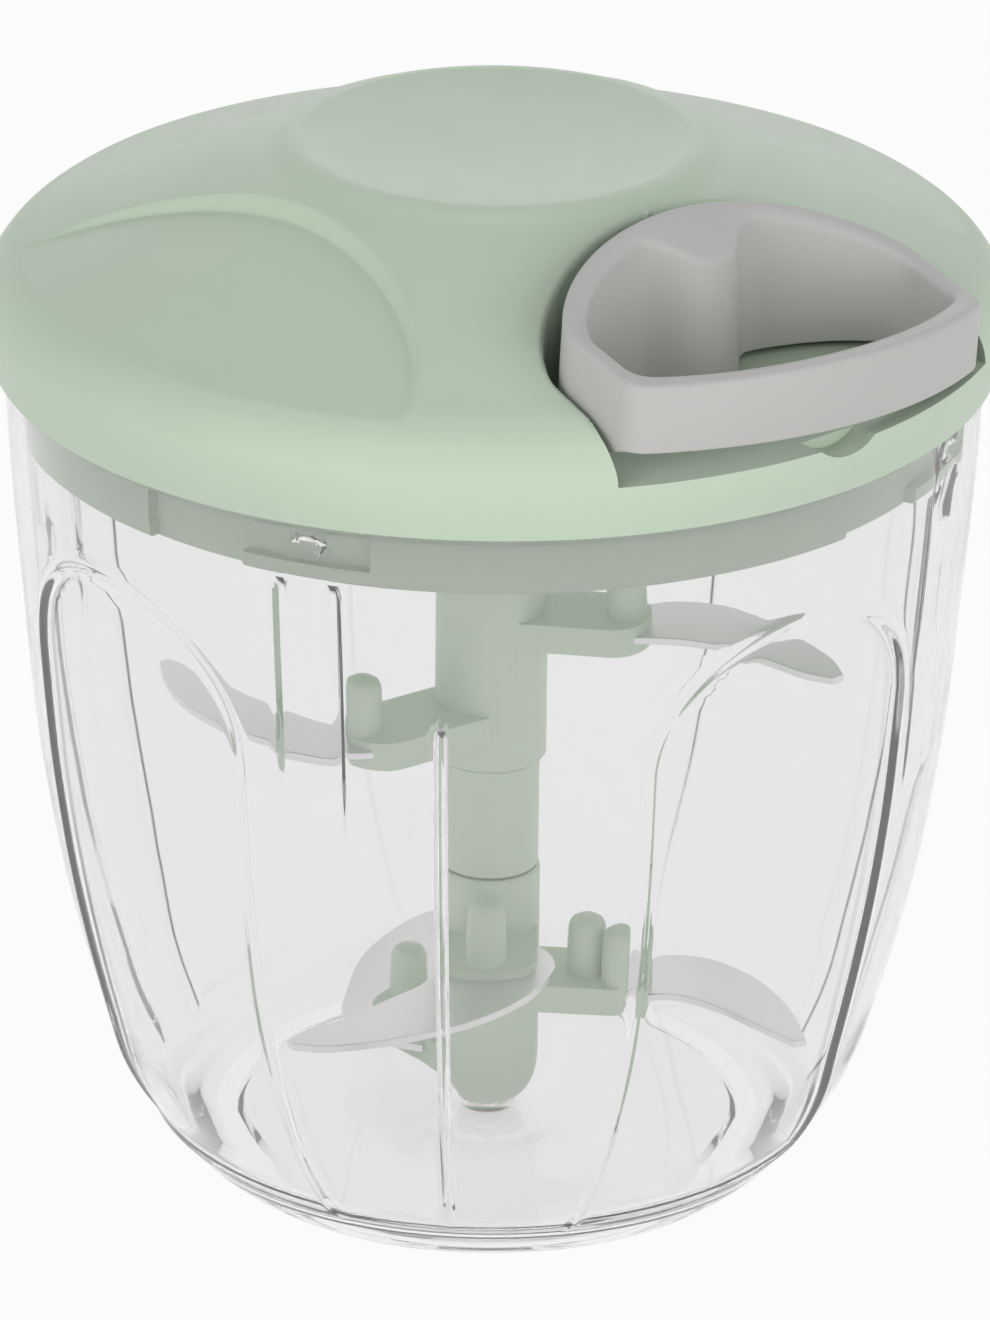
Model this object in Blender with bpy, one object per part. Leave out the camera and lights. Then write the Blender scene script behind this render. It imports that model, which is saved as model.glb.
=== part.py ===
"""Pull-cord vegetable chopper: clear bowl, domed lid with a recoil reel, and a five-blade rotor.

The pull handle faces -Y, and the origin is the middle of the bowl's foot, on the table.
Angles called bearing are measured from the handle's direction towards +X, in degrees.
"""
import math

import bmesh
import bpy
from mathutils import Matrix, Vector

MM = 0.001
GAP = 0.3 * MM             # space left between pieces that touch on the real object
ROUND_STEPS = 48           # facets of the large turned pieces
SMALL_STEPS = 24           # facets of pins, bushes and screws

# Bowl: outer outline as (radius, height), from the foot to the rim
BOWL_OUTLINE = [(36.4, 0.0), (38.2, 0.35), (41.0, 2.9), (44.9, 7.9), (48.7, 14.8), (51.7, 24.6),
                (55.4, 39.4), (58.6, 59.1), (60.35, 78.8), (61.8, 98.5), (62.3, 109.8)]
BOWL_WALL = 2.0 * MM
BOWL_TURN = -2.6           # the bowl's panels are locked a little to the left of the handle
BOWL_LIP = 0.8 * MM
BOWL_FLOOR_HEIGHT = 4.2 * MM
FOOT_RING_WIDTH = 3.0 * MM
FOOT_RECESS = 1.0 * MM
ARCH_COUNT = 4
ARCH_TOP = 94.0 * MM
ARCH_FOOT = 7.0 * MM
ARCH_HALF_ANGLE = 19.8
ARCH_FOOT_HALF_ANGLE = 24.5
ARCH_FLARE_TOP = 44.0 * MM     # below this height the panel's sides flare out to its foot
ARCH_SHOULDER = 76.0 * MM
ARCH_DEPTH = 0.6 * MM
RIB_TOP = 83.5 * MM
RIB_WIDTH = 1.2 * MM
RIB_DEPTH = 0.8 * MM
PIVOT_RADIUS = 1.25 * MM
PIVOT_TOP = 20.4 * MM
PIVOT_SEAT = 2.8 * MM
PIVOT_BOSS_RADIUS = 3.6 * MM
PIVOT_BOSS_TOP = 8.0 * MM

# Bayonet between the bowl and the lid
LUG_COUNT = 4
LUG_BEARING = -64.0
LUG_WIDTH_ANGLE = 8.1
LUG_HEIGHT = 3.2 * MM
LUG_DROP = 4.0 * MM          # from the bowl's rim down to the middle of a lug
LUG_DEPTH = 1.6 * MM
UNLOCK_ANGLE = 14.0
SLOT_SLACK_ANGLE = 4.0
SLOT_FLOOR_WALL = 1.2 * MM

# Lid base: plate, skirt and bearing tube
SKIRT_REACH = 8.4 * MM       # from the bowl's rim down to the skirt's foot
SKIRT_CLEARANCE = 0.6 * MM
SKIRT_WALL = 2.6 * MM
SEAL_SPACE = 2.3 * MM        # between the bowl's rim and the plate
PLATE_THICKNESS = 2.0 * MM
BEARING_TUBE_WALL = 2.2 * MM
BEARING_TUBE_LENGTH = 7.4 * MM
SEAL_WIDTH = 1.4 * MM

# Lid cover: outer outline below the shoulder, as (radius, height over the bowl's rim)
COVER_RIM_OUTLINE = [(62.5, 12.8), (63.9, 10.8), (64.8, 8.7), (65.05, 7.0), (64.9, 4.4), (64.0, 0.3)]
COVER_WALL = 2.1 * MM
SHOULDER_RADIUS = 60.6 * MM
SHOULDER_RISE = 14.4 * MM    # from the bowl's rim up to the shoulder
DISC_RADIUS = 24.8 * MM
DOME_HEIGHT = 14.2 * MM      # from the shoulder up to the raised disc's edge
DISH_DEPTH = 1.9 * MM
DOME_RISE = 0.6 * MM       # how far the dome bulges over the straight line from shoulder to disc
SCREW_BOSS_RADIUS = 3.2 * MM
SCREW_CIRCLE = 48.0 * MM
SCREW_COUNT = 4
SCREW_HEAD_RADIUS = 2.7 * MM
SCREW_HEAD_HEIGHT = 1.7 * MM
SCREW_SHANK_RADIUS = 1.3 * MM
SCREW_LENGTH = 9.5 * MM

# Side recesses of the lid: half of an ellipse seen from above, with a cone as its floor
RECESS_BEARINGS = (-90.0, 90.0, 180.0)
RECESS_INNER = 31.2 * MM
RECESS_HALF_WIDTH = 37.4 * MM
RECESS_LENGTH = 21.0 * MM
RECESS_DEPTH = 1.7 * MM

# Handle and its pocket: shield outlines seen from above
HANDLE_BACK_SPACE = 3.8 * MM # between the pocket's back wall and the handle
HANDLE_LENGTH = 32.0 * MM
HANDLE_HALF_WIDTH = 29.5 * MM
HANDLE_INNER_CURVE = 13.8 * MM
HANDLE_CORNER = 5.0 * MM
HANDLE_LIFT = 9.3 * MM       # the handle's underside over the bowl's rim
HANDLE_FRONT_DEPTH = 9.3 * MM
HANDLE_TOP_FALL = 0.16     # slope of the top face just behind its front edge
HANDLE_TOP_CURL = 15.0     # how fast the top face curls up towards the inner end, per metre
HANDLE_TILT = 3.7          # the handle hangs on its cord and leans to one side in its pocket
HANDLE_FRONT_WALL = 3.3 * MM
HANDLE_SIDE_WALL = 2.8 * MM
HANDLE_BACK_WALL = 2.1 * MM
HANDLE_BOSS_DEPTH = 3.4 * MM
HANDLE_BOSS_HALF_WIDTH = 11.5 * MM
CORD_BOSS_RADIUS = 4.4 * MM
CORD_BOSS_REACH = 7.6 * MM
OUTLINE_POWER = 1.15       # below 2 the inner end is pointed more than an ellipse
POCKET_SIDE_SPACE = 0.7 * MM
POCKET_INNER_CURVE = 16.5 * MM
POCKET_MOUTH_FLARE = 1.0 * MM
POCKET_WALL = 2.0 * MM
POCKET_FLOOR_SPACE = 2.2 * MM
NOTCH_WIDTH = 9.0 * MM
NOTCH_DEPTH = 1.6 * MM

# Cord
CORD_RADIUS = 1.1 * MM
CORD_RISE = 4.1 * MM         # the cord over the handle's underside
CORD_BORE_CLEARANCE = 0.4 * MM
KNOT_RADIUS = 2.4 * MM
KNOT_POCKET_DEPTH = 4.6 * MM
EYELET_WALL = 1.5 * MM
EYELET_FLANGE = 1.1 * MM

# Reel, spring and drive
REEL_FLANGE_RADIUS = 25.6 * MM
REEL_FLANGE_THICKNESS = 1.5 * MM
REEL_CORE_RADIUS = 15.0 * MM
WINDING_RADIUS = 20.3 * MM
REEL_SPACE = 1.6 * MM        # between the reel's flanges and the pocket's wall
SPRING_CUP_RADIUS = 23.4 * MM
SPRING_CUP_WALL = 1.8 * MM
SPRING_HEIGHT = 4.4 * MM
SPRING_THICKNESS = 0.5 * MM
SPRING_TURNS = 6
SPRING_CAP_THICKNESS = 0.7 * MM
AXLE_POST_RADIUS = 3.4 * MM
AXLE_POST_DEPTH = 3.3 * MM
SPINDLE_RADIUS = 5.6 * MM
SPINDLE_COLLAR_RADIUS = 8.2 * MM
SPINDLE_COLLAR_HEIGHT = 1.6 * MM
SPINDLE_HEX_RADIUS = 4.9 * MM
SPINDLE_HEX_LENGTH = 12.0 * MM
SPINDLE_KEY_LENGTH = 5.2 * MM
SPINDLE_SCREW_RADIUS = 1.1 * MM
SPINDLE_SCREW_HEAD = 2.3 * MM
BUSH_WALL = 0.8 * MM
BUSH_FLANGE_RADIUS = 9.5 * MM
BUSH_FLANGE_THICKNESS = 0.8 * MM
REEL_HUB_RADIUS = 9.0 * MM
REEL_HUB_HEIGHT = 2.4 * MM

# Rotor
ROTOR_FOOT = 6.2 * MM
LOWER_HUB_RADIUS = 6.65 * MM
LOWER_HUB_TOP = 38.2 * MM
SHAFT_RADIUS = 6.4 * MM
SPIGOT_RADIUS = 4.8 * MM
LOWER_SPIGOT_LENGTH = 14.0 * MM
UPPER_HUB_RADIUS = 7.25 * MM
UPPER_HUB_FOOT = 54.2 * MM
SOCKET_SLACK = 0.3 * MM
ARM_HEIGHT = 3.8 * MM
ARM_WIDTH = 12.4 * MM
ARM_REACH = 21.0 * MM
POST_RADIUS = 2.8 * MM
POST_HEIGHT = 7.5 * MM
BLADE_THICKNESS = 1.0 * MM
BLADE_HALF_WIDTH = 5.4 * MM
BLADE_ROOT_RADIUS = 8.6 * MM
BLADE_BEND_RADIUS = 26.0 * MM  # clear of the arms; the blades are flat inside it and rise outside it
# name, hub, height, bearing of the arm, sweep back of the tip, rise of the tip, tip radius, posts
BLADES = [
    ("blade_upper_right", "upper", 73.0 * MM, 38.0, 20.0, 3.0 * MM, 51.0 * MM, (17.5 * MM,)),
    ("blade_upper_left", "upper", 60.2 * MM, -97.0, 47.0, 3.0 * MM, 46.5 * MM, (20.0 * MM,)),
    ("blade_lower_front", "lower", 28.2 * MM, -38.0, 36.0, 2.8 * MM, 48.0 * MM, (12.5 * MM,)),
    ("blade_lower_right", "lower", 21.4 * MM, 46.0, 30.0, 2.6 * MM, 46.0 * MM, (13.0 * MM, 18.0 * MM)),
    ("blade_lower_back", "lower", 10.4 * MM, -180.0, 42.0, 1.6 * MM, 40.5 * MM, (15.8 * MM,)),
]

# Sizes that follow from the ones above
BOWL_RIM_HEIGHT = BOWL_OUTLINE[-1][1] * MM + BOWL_LIP
LUG_MIDDLE = BOWL_RIM_HEIGHT - LUG_DROP
SKIRT_FOOT = BOWL_RIM_HEIGHT - SKIRT_REACH
PLATE_UNDERSIDE = BOWL_RIM_HEIGHT + SEAL_SPACE
BEARING_TUBE_FOOT = PLATE_UNDERSIDE - BEARING_TUBE_LENGTH
SHOULDER_HEIGHT = BOWL_RIM_HEIGHT + SHOULDER_RISE
DISC_HEIGHT = SHOULDER_HEIGHT + DOME_HEIGHT
POCKET_INNER = REEL_FLANGE_RADIUS + REEL_SPACE + POCKET_WALL
POCKET_HALF_WIDTH = HANDLE_HALF_WIDTH + POCKET_SIDE_SPACE
POCKET_MOUTH_HALF_WIDTH = POCKET_HALF_WIDTH + POCKET_MOUTH_FLARE
HANDLE_INNER = POCKET_INNER + HANDLE_BACK_SPACE
HANDLE_FRONT_RADIUS = HANDLE_INNER + HANDLE_LENGTH
HANDLE_BOTTOM = BOWL_RIM_HEIGHT + HANDLE_LIFT
HANDLE_FRONT_TOP = HANDLE_BOTTOM + HANDLE_FRONT_DEPTH
POCKET_FLOOR = HANDLE_BOTTOM - POCKET_FLOOR_SPACE
CORD_HEIGHT = HANDLE_BOTTOM + CORD_RISE
PLATE_TOP = PLATE_UNDERSIDE + PLATE_THICKNESS
BUSH_TOP = PLATE_TOP + GAP + BUSH_FLANGE_THICKNESS
REEL_FOOT = BUSH_TOP + GAP
LOWER_FLANGE_FOOT = REEL_FOOT + REEL_HUB_HEIGHT
CHANNEL_FOOT = LOWER_FLANGE_FOOT + REEL_FLANGE_THICKNESS
CUP_TOP = DISC_HEIGHT - DISH_DEPTH - COVER_WALL - SPRING_CAP_THICKNESS - 2 * GAP
CUP_FLOOR = CUP_TOP - SPRING_HEIGHT - 2 * GAP
CHANNEL_TOP = CUP_FLOOR - REEL_FLANGE_THICKNESS
AXLE_POST_FOOT = CUP_FLOOR - AXLE_POST_DEPTH
SPINDLE_TOP = REEL_FOOT + SPINDLE_KEY_LENGTH
COLLAR_TOP = BEARING_TUBE_FOOT - GAP
COLLAR_FOOT = COLLAR_TOP - SPINDLE_COLLAR_HEIGHT
ROTOR_TOP = COLLAR_FOOT - GAP
SPINDLE_FOOT = COLLAR_FOOT - SPINDLE_HEX_LENGTH
BUSH_BORE = SPINDLE_RADIUS + GAP
BUSH_RADIUS = BUSH_BORE + BUSH_WALL
TUBE_BORE = BUSH_RADIUS + GAP
BOWL_INNER_RADIUS = BOWL_OUTLINE[-1][0] * MM - BOWL_WALL
SKIRT_RADIUS = BOWL_INNER_RADIUS - SKIRT_CLEARANCE
COVER_BORE = COVER_RIM_OUTLINE[-1][0] * MM - COVER_WALL
PLATE_RADIUS = COVER_BORE - GAP


def polar(radius, bearing):
    """The point at a radius and a bearing from the handle's direction (-Y) towards +X."""
    turn = math.radians(bearing)
    return Vector((radius * math.sin(turn), -radius * math.cos(turn)))


def plastic(name, colour, roughness=0.4, metallic=0.0, alpha=1.0):
    material = bpy.data.materials.new(name)
    material.use_nodes = True
    shader = material.node_tree.nodes["Principled BSDF"]
    shader.inputs["Base Color"].default_value = (*colour, 1.0)
    shader.inputs["Roughness"].default_value = roughness
    shader.inputs["Metallic"].default_value = metallic
    shader.inputs["Alpha"].default_value = alpha
    return material


def make_object(mesh_builder, name, material=None, crease=35.0):
    """Turn a bmesh into a scene object with outward faces and smooth round sides."""
    bmesh.ops.remove_doubles(mesh_builder, verts=mesh_builder.verts, dist=0.000001)
    bmesh.ops.recalc_face_normals(mesh_builder, faces=mesh_builder.faces)
    mesh = bpy.data.meshes.new(name)
    mesh_builder.to_mesh(mesh)
    mesh_builder.free()
    mesh.shade_smooth()
    mesh.set_sharp_from_angle(angle=math.radians(crease))
    made = bpy.data.objects.new(name, mesh)
    bpy.context.scene.collection.objects.link(made)
    if material:
        mesh.materials.append(material)
    return made


def boolean(target, tool, operation="DIFFERENCE"):
    """Cut or join target with tool, which stays in the scene as a hidden wire guide."""
    modifier = target.modifiers.new(tool.name, "BOOLEAN")
    modifier.operation = operation
    modifier.solver = "EXACT"
    modifier.object = tool
    tool.hide_render = True
    tool.display_type = "WIRE"


def turned(outline, steps=ROUND_STEPS, ring=False, sweep=360.0, start=0.0):
    """Spin an outline of (radius, height) about Z; a ring outline is closed, others end on the axis."""
    work = bmesh.new()
    verts = [work.verts.new((radius, 0.0, height)) for radius, height in outline]
    pairs = list(zip(verts, verts[1:]))
    if ring:
        pairs.append((verts[-1], verts[0]))
    edges = [work.edges.new(pair) for pair in pairs]
    geometry = verts + edges
    full = sweep >= 360.0
    if not full:
        geometry.append(work.faces.new(verts))
    bmesh.ops.rotate(work, verts=verts, cent=(0, 0, 0), matrix=Matrix.Rotation(math.radians(start), 3, "Z"))
    bmesh.ops.spin(work, geom=geometry, cent=(0, 0, 0), axis=(0, 0, 1), dvec=(0, 0, 0),
                   angle=math.radians(sweep), steps=steps, use_merge=full, use_duplicate=False)
    return work


def prism(points, bottom, top):
    """A straight block over a flat outline, between two heights."""
    work = bmesh.new()
    face = work.faces.new([work.verts.new((x, y, bottom)) for x, y in points])
    raised = bmesh.ops.extrude_face_region(work, geom=[face])["geom"]
    lifted = [item for item in raised if isinstance(item, bmesh.types.BMVert)]
    bmesh.ops.translate(work, verts=lifted, vec=(0, 0, top - bottom))
    return work


def rod(radius, bottom, top, centre=(0.0, 0.0), steps=SMALL_STEPS, end_radius=None):
    """A straight bar along Z, round or with few sides."""
    work = bmesh.new()
    bmesh.ops.create_cone(work, cap_ends=True, segments=steps, radius1=radius,
                          radius2=radius if end_radius is None else end_radius, depth=top - bottom)
    bmesh.ops.translate(work, verts=work.verts, vec=(*centre, (top + bottom) / 2))
    return work


def lay_along_y(work, height):
    """Lay a piece that was made along Z on its side: its Z becomes the handle's direction, -Y."""
    bmesh.ops.rotate(work, verts=work.verts, cent=(0, 0, 0), matrix=Matrix.Rotation(math.radians(90), 3, "X"))
    bmesh.ops.translate(work, verts=work.verts, vec=(0, 0, height))
    return work


def shield_side(inner, half_width, inner_curve, power=OUTLINE_POWER, points=14):
    """Half of the inner side of a shield that faces -Y, from its middle to its flank."""
    side = []
    for step in range(points + 1):
        turn = math.pi / 2 * step / points
        inward = inner + inner_curve * (1 - math.cos(turn) ** power)
        side.append(Vector((half_width * math.sin(turn), -inward)))
    return side


def ring_outline(inner, half_width, inner_curve, corner, front, arc_steps=8):
    """The handle from above: curved inner side, rounded front corners, front on the lid's circle."""
    side = shield_side(inner, half_width, inner_curve)
    corner_x = half_width - corner
    corner_y = math.sqrt((front - corner) ** 2 - corner_x ** 2)
    lean = math.atan2(corner_x, corner_y)
    for step in range(5):
        turn = lean + (math.pi / 2 - lean) * (1 - step / 4)
        side.append(Vector((corner_x + corner * math.sin(turn), -corner_y - corner * math.cos(turn))))
    for step in range(1, arc_steps):
        side.append(polar(front, math.degrees(lean) * (1 - step / arc_steps)))
    side.append(Vector((0.0, -front)))
    mirrored = [Vector((-point.x, point.y)) for point in reversed(side[1:-1])]
    return side + mirrored


def open_shield(inner, half_width, inner_curve, reach, power, bearing=0.0, mouth=0.0):
    """A closed shield outline that runs out past the lid's edge, turned to a bearing."""
    side = shield_side(inner, half_width, inner_curve, power)
    if mouth:
        flank_end = -side[-1].y + (SHOULDER_RADIUS + side[-1].y) * 0.35
        side += [Vector((half_width, -flank_end)), Vector((half_width + (mouth - half_width) * 0.6,
                                                          -flank_end - 3 * MM))]
    side.append(Vector((mouth or half_width, -reach)))
    whole = side + [Vector((-point.x, point.y)) for point in reversed(side[1:])]
    turn = Matrix.Rotation(math.radians(bearing), 2)
    return [turn @ point for point in whole]


def offset_outline(outline, distance):
    """Offset an open outline of (radius, height) square to itself, towards the axis side."""
    moved = []
    for index, (radius, height) in enumerate(outline):
        before = outline[max(index - 1, 0)]
        after = outline[min(index + 1, len(outline) - 1)]
        run, rise = after[0] - before[0], after[1] - before[1]
        length = math.hypot(run, rise)
        moved.append((radius - distance * rise / length, height + distance * run / length))
    return moved


# Materials
def make_materials():
    return {
        "lid_green": plastic("lid_green", (0.41, 0.51, 0.40), 0.42),
        "rotor_green": plastic("rotor_green", (0.46, 0.55, 0.45), 0.45),
        "handle_grey": plastic("handle_grey", (0.50, 0.49, 0.47), 0.5),
        "clear": plastic("clear", (0.93, 0.94, 0.94), 0.05, 0.0, 0.3),
        "steel": plastic("steel", (0.72, 0.72, 0.72), 0.25, 1.0),
        "white": plastic("white", (0.80, 0.80, 0.78), 0.5),
        "silicone": plastic("silicone", (0.75, 0.78, 0.74), 0.7),
        "cord": plastic("cord", (0.78, 0.78, 0.75), 0.8),
        "brass": plastic("brass", (0.70, 0.53, 0.25), 0.35, 1.0),
    }


# Bowl
def bowl_outline():
    return [(radius * MM, height * MM) for radius, height in BOWL_OUTLINE]


def bowl_inner_outline():
    """The inner wall from the floor up: the outer outline moved in by the wall, above the floor."""
    moved = offset_outline(bowl_outline(), BOWL_WALL)
    wall = [point for point in moved if point[1] > BOWL_FLOOR_HEIGHT + 2.2 * MM]
    first = wall[0]
    corner = [(first[0] - 8.0 * MM, BOWL_FLOOR_HEIGHT), (first[0] - 3.4 * MM, BOWL_FLOOR_HEIGHT + 0.8 * MM)]
    return corner + wall


def make_bowl(materials):
    outer = bowl_outline()
    inner = bowl_inner_outline()
    foot = outer[0][0]
    recess_edge = foot - FOOT_RING_WIDTH
    pin_hole = PIVOT_RADIUS + GAP
    rim_outer, rim_inner = outer[-1][0], BOWL_INNER_RADIUS
    section = [(0.0, FOOT_RECESS), (recess_edge - FOOT_RECESS, FOOT_RECESS), (recess_edge, 0.0)]
    section += outer
    section += [(rim_outer - 0.5 * MM, BOWL_RIM_HEIGHT), (rim_inner + 0.5 * MM, BOWL_RIM_HEIGHT)]
    section += [(rim_inner, outer[-1][1])] + inner[:-1][::-1]
    section += [(PIVOT_BOSS_RADIUS + 0.8 * MM, BOWL_FLOOR_HEIGHT), (PIVOT_BOSS_RADIUS, PIVOT_BOSS_TOP),
                (pin_hole, PIVOT_BOSS_TOP), (pin_hole, PIVOT_SEAT - GAP), (0.0, PIVOT_SEAT - GAP)]
    bowl = make_object(turned(section, start=BOWL_TURN), "bowl", materials["clear"])

    arch_steps = 8
    for index in range(ARCH_COUNT):
        bearing = BOWL_TURN + index * 360.0 / ARCH_COUNT
        band = [point for point in outer if point[1] > ARCH_FOOT * 0.6]
        skin = offset_outline(band, ARCH_DEPTH)
        far = [(radius + 4 * MM, height) for radius, height in reversed(band)]
        wedge = make_object(turned(skin + far, steps=8, ring=True, sweep=60.0, start=bearing - 120.0),
                            f"arch_guide_{index + 1}")
        side = []
        for step in range(5):
            share = 1 - step / 4
            flare = (ARCH_FOOT_HALF_ANGLE - ARCH_HALF_ANGLE) * share ** 2
            side.append((ARCH_FLARE_TOP + (ARCH_FOOT - ARCH_FLARE_TOP) * share, ARCH_HALF_ANGLE + flare))
        side.append((ARCH_SHOULDER, ARCH_HALF_ANGLE))
        for step in range(1, arch_steps):
            turn = math.pi / 2 * step / arch_steps
            side.append((ARCH_SHOULDER + (ARCH_TOP - ARCH_SHOULDER) * math.sin(turn),
                         ARCH_HALF_ANGLE * math.cos(turn)))
        outline = side + [(ARCH_TOP, 0.0)] + [(height, -half) for height, half in reversed(side)]
        gate = bmesh.new()
        near, distant = [], []
        for height, half in outline:
            near.append(gate.verts.new((*polar(30.0 * MM, bearing + half), height)))
            distant.append(gate.verts.new((*polar(90.0 * MM, bearing + half), height)))
        gate.faces.new(near)
        gate.faces.new(distant)
        for first in range(len(outline)):
            second = (first + 1) % len(outline)
            gate.faces.new((near[first], near[second], distant[second], distant[first]))
        arch = make_object(gate, f"arch_{index + 1}")
        boolean(arch, wedge, "INTERSECT")
        boolean(bowl, arch)

    for index in range(ARCH_COUNT):
        bearing = BOWL_TURN + (index + 0.5) * 360.0 / ARCH_COUNT
        line = [point for point in inner if point[1] < RIB_TOP]
        line.append((inner[-3][0], RIB_TOP))
        buried = [(radius + BOWL_WALL / 2, height) for radius, height in line]
        proud = [(radius - RIB_DEPTH, height) for radius, height in line]
        sweep = math.degrees(RIB_WIDTH / BOWL_INNER_RADIUS)
        rib = make_object(turned(buried + proud[::-1], steps=1, ring=True, sweep=sweep,
                                 start=bearing - 90.0 - sweep / 2), f"bowl_rib_{index + 1}")
        boolean(bowl, rib, "UNION")

    for index in range(LUG_COUNT):
        bearing = LUG_BEARING + index * 360.0 / LUG_COUNT
        low, high = LUG_MIDDLE - LUG_HEIGHT / 2, LUG_MIDDLE + LUG_HEIGHT / 2
        face = BOWL_INNER_RADIUS - LUG_DEPTH
        back = BOWL_INNER_RADIUS + BOWL_WALL / 2
        block = [(back, low - LUG_DEPTH / 2), (back, high + LUG_DEPTH / 2), (face, high), (face, low)]
        lug = make_object(turned(block, steps=3, ring=True, sweep=LUG_WIDTH_ANGLE,
                                 start=bearing - 90.0 - LUG_WIDTH_ANGLE / 2), f"bowl_lug_{index + 1}")
        boolean(bowl, lug, "UNION")
    return bowl


def make_pivot_pin(materials):
    section = [(0.0, PIVOT_SEAT), (PIVOT_RADIUS, PIVOT_SEAT), (PIVOT_RADIUS, PIVOT_TOP - PIVOT_RADIUS / 2),
               (PIVOT_RADIUS / 2, PIVOT_TOP), (0.0, PIVOT_TOP)]
    return make_object(turned(section, steps=12), "pivot_pin", materials["steel"])


# Lid cover
def dome_height(radius):
    """Height of the dome between the shoulder and the raised disc."""
    share = (SHOULDER_RADIUS - radius) / (SHOULDER_RADIUS - DISC_RADIUS)
    straight = SHOULDER_HEIGHT + (DISC_HEIGHT - SHOULDER_HEIGHT) * share
    return straight + 4 * DOME_RISE * share * (1 - share)


def dish_height(radius):
    return DISC_HEIGHT - DISH_DEPTH * (1 - (radius / DISC_RADIUS) ** 2)


def cover_outline():
    """The cover's outer outline, from the middle of the dish to the rim."""
    dish_steps, dome_steps = 4, 7
    dish = [DISC_RADIUS * step / dish_steps for step in range(dish_steps)]
    outline = [(radius, dish_height(radius)) for radius in dish]
    for step in range(dome_steps + 1):
        radius = DISC_RADIUS + (SHOULDER_RADIUS - DISC_RADIUS) * step / dome_steps
        outline.append((radius, dome_height(radius)))
    return outline + [(radius * MM, BOWL_RIM_HEIGHT + rise * MM) for radius, rise in COVER_RIM_OUTLINE]


def recess_floor(radius):
    """The cone under a side recess: deepest at its inner end, flush with the shoulder."""
    inner = dome_height(RECESS_INNER) - RECESS_DEPTH
    share = (radius - RECESS_INNER) / (SHOULDER_RADIUS - RECESS_INNER)
    return inner + (SHOULDER_HEIGHT - inner) * share


def recess_block(bearing, grow, drop, name):
    """The space of a side recess, grown sideways and lowered where it is to keep a wall."""
    inner_edge, outer_edge = RECESS_INNER - 6 * MM, SHOULDER_RADIUS - 0.2 * MM
    ceiling = DISC_HEIGHT + 6 * MM
    section = [(inner_edge, recess_floor(inner_edge) - drop), (inner_edge, ceiling), (outer_edge, ceiling),
               (outer_edge, recess_floor(outer_edge) - drop)]
    cone = make_object(turned(section, ring=True), f"{name}_floor_guide")
    outline = open_shield(RECESS_INNER - grow, RECESS_HALF_WIDTH + grow, RECESS_LENGTH + grow,
                          SHOULDER_RADIUS + 9 * MM, 1.0, bearing)
    block = make_object(prism(outline, SHOULDER_HEIGHT - 20 * MM, ceiling + 1 * MM), name)
    boolean(block, cone, "INTERSECT")
    return block


def pocket_outline(grow):
    """The handle's pocket from above: the handle's own outline with a clearance, open to the front."""
    return open_shield(POCKET_INNER - grow, POCKET_HALF_WIDTH + grow, POCKET_INNER_CURVE,
                       SHOULDER_RADIUS + 12 * MM, OUTLINE_POWER, mouth=POCKET_MOUTH_HALF_WIDTH + grow)


def screw_places():
    return [polar(SCREW_CIRCLE, 45.0 + 360.0 * index / SCREW_COUNT) for index in range(SCREW_COUNT)]


def make_lid_cover(materials):
    outer = cover_outline()
    rim_radius, rim_height = outer[-1]
    cover = make_object(turned(outer + [(0.0, rim_height)]), "lid_cover", materials["lid_green"])

    above = 12 * MM
    inside = [(radius, height) for radius, height in offset_outline(outer[:-1], -COVER_WALL)]
    inside[0] = (0.0, dish_height(0.0) - COVER_WALL)
    inside = [point for point in inside if point[1] > PLATE_TOP] + [(COVER_BORE, PLATE_TOP + GAP)]
    core = make_object(turned(inside + [(COVER_BORE, rim_height - GAP), (0.0, rim_height - GAP)]), "cover_core")
    kept = make_object(prism(pocket_outline(POCKET_WALL), POCKET_FLOOR - POCKET_WALL, DISC_HEIGHT + above),
                       "pocket_tub")
    boolean(core, kept)
    for index, bearing in enumerate(RECESS_BEARINGS):
        boolean(core, recess_block(bearing, COVER_WALL, COVER_WALL, f"recess_tub_{index + 1}"))
    for index, place in enumerate(screw_places()):
        boss = rod(SCREW_BOSS_RADIUS, PLATE_TOP + GAP, DISC_HEIGHT, place, steps=16)
        boolean(core, make_object(boss, f"screw_boss_{index + 1}"))
    boolean(core, make_object(rod(AXLE_POST_RADIUS, AXLE_POST_FOOT, DISC_HEIGHT), "axle_post"))
    boolean(cover, core)

    boolean(cover, make_object(prism(pocket_outline(0.0), POCKET_FLOOR, DISC_HEIGHT + above), "pocket_space"))
    for index, bearing in enumerate(RECESS_BEARINGS):
        boolean(cover, recess_block(bearing, 0.0, 0.0, f"recess_space_{index + 1}"))
    for index, place in enumerate(screw_places()):
        pilot = rod(SCREW_SHANK_RADIUS + GAP, PLATE_TOP, PLATE_UNDERSIDE + SCREW_LENGTH + GAP, place, steps=12)
        boolean(cover, make_object(pilot, f"screw_pilot_{index + 1}"))
    eyelet_bore = rod(CORD_RADIUS + CORD_BORE_CLEARANCE + EYELET_WALL + GAP, POCKET_INNER - 3 * POCKET_WALL,
                      POCKET_INNER + POCKET_WALL)
    boolean(cover, make_object(lay_along_y(eyelet_bore, CORD_HEIGHT), "eyelet_bore"))
    notch_radius = (NOTCH_WIDTH ** 2 / 4 + NOTCH_DEPTH ** 2) / (2 * NOTCH_DEPTH)
    notch = rod(notch_radius, COVER_BORE - 0.7 * MM, HANDLE_FRONT_RADIUS + 5 * MM)
    boolean(cover, make_object(lay_along_y(notch, POCKET_FLOOR - NOTCH_DEPTH + notch_radius), "ledge_notch"))
    return cover


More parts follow.
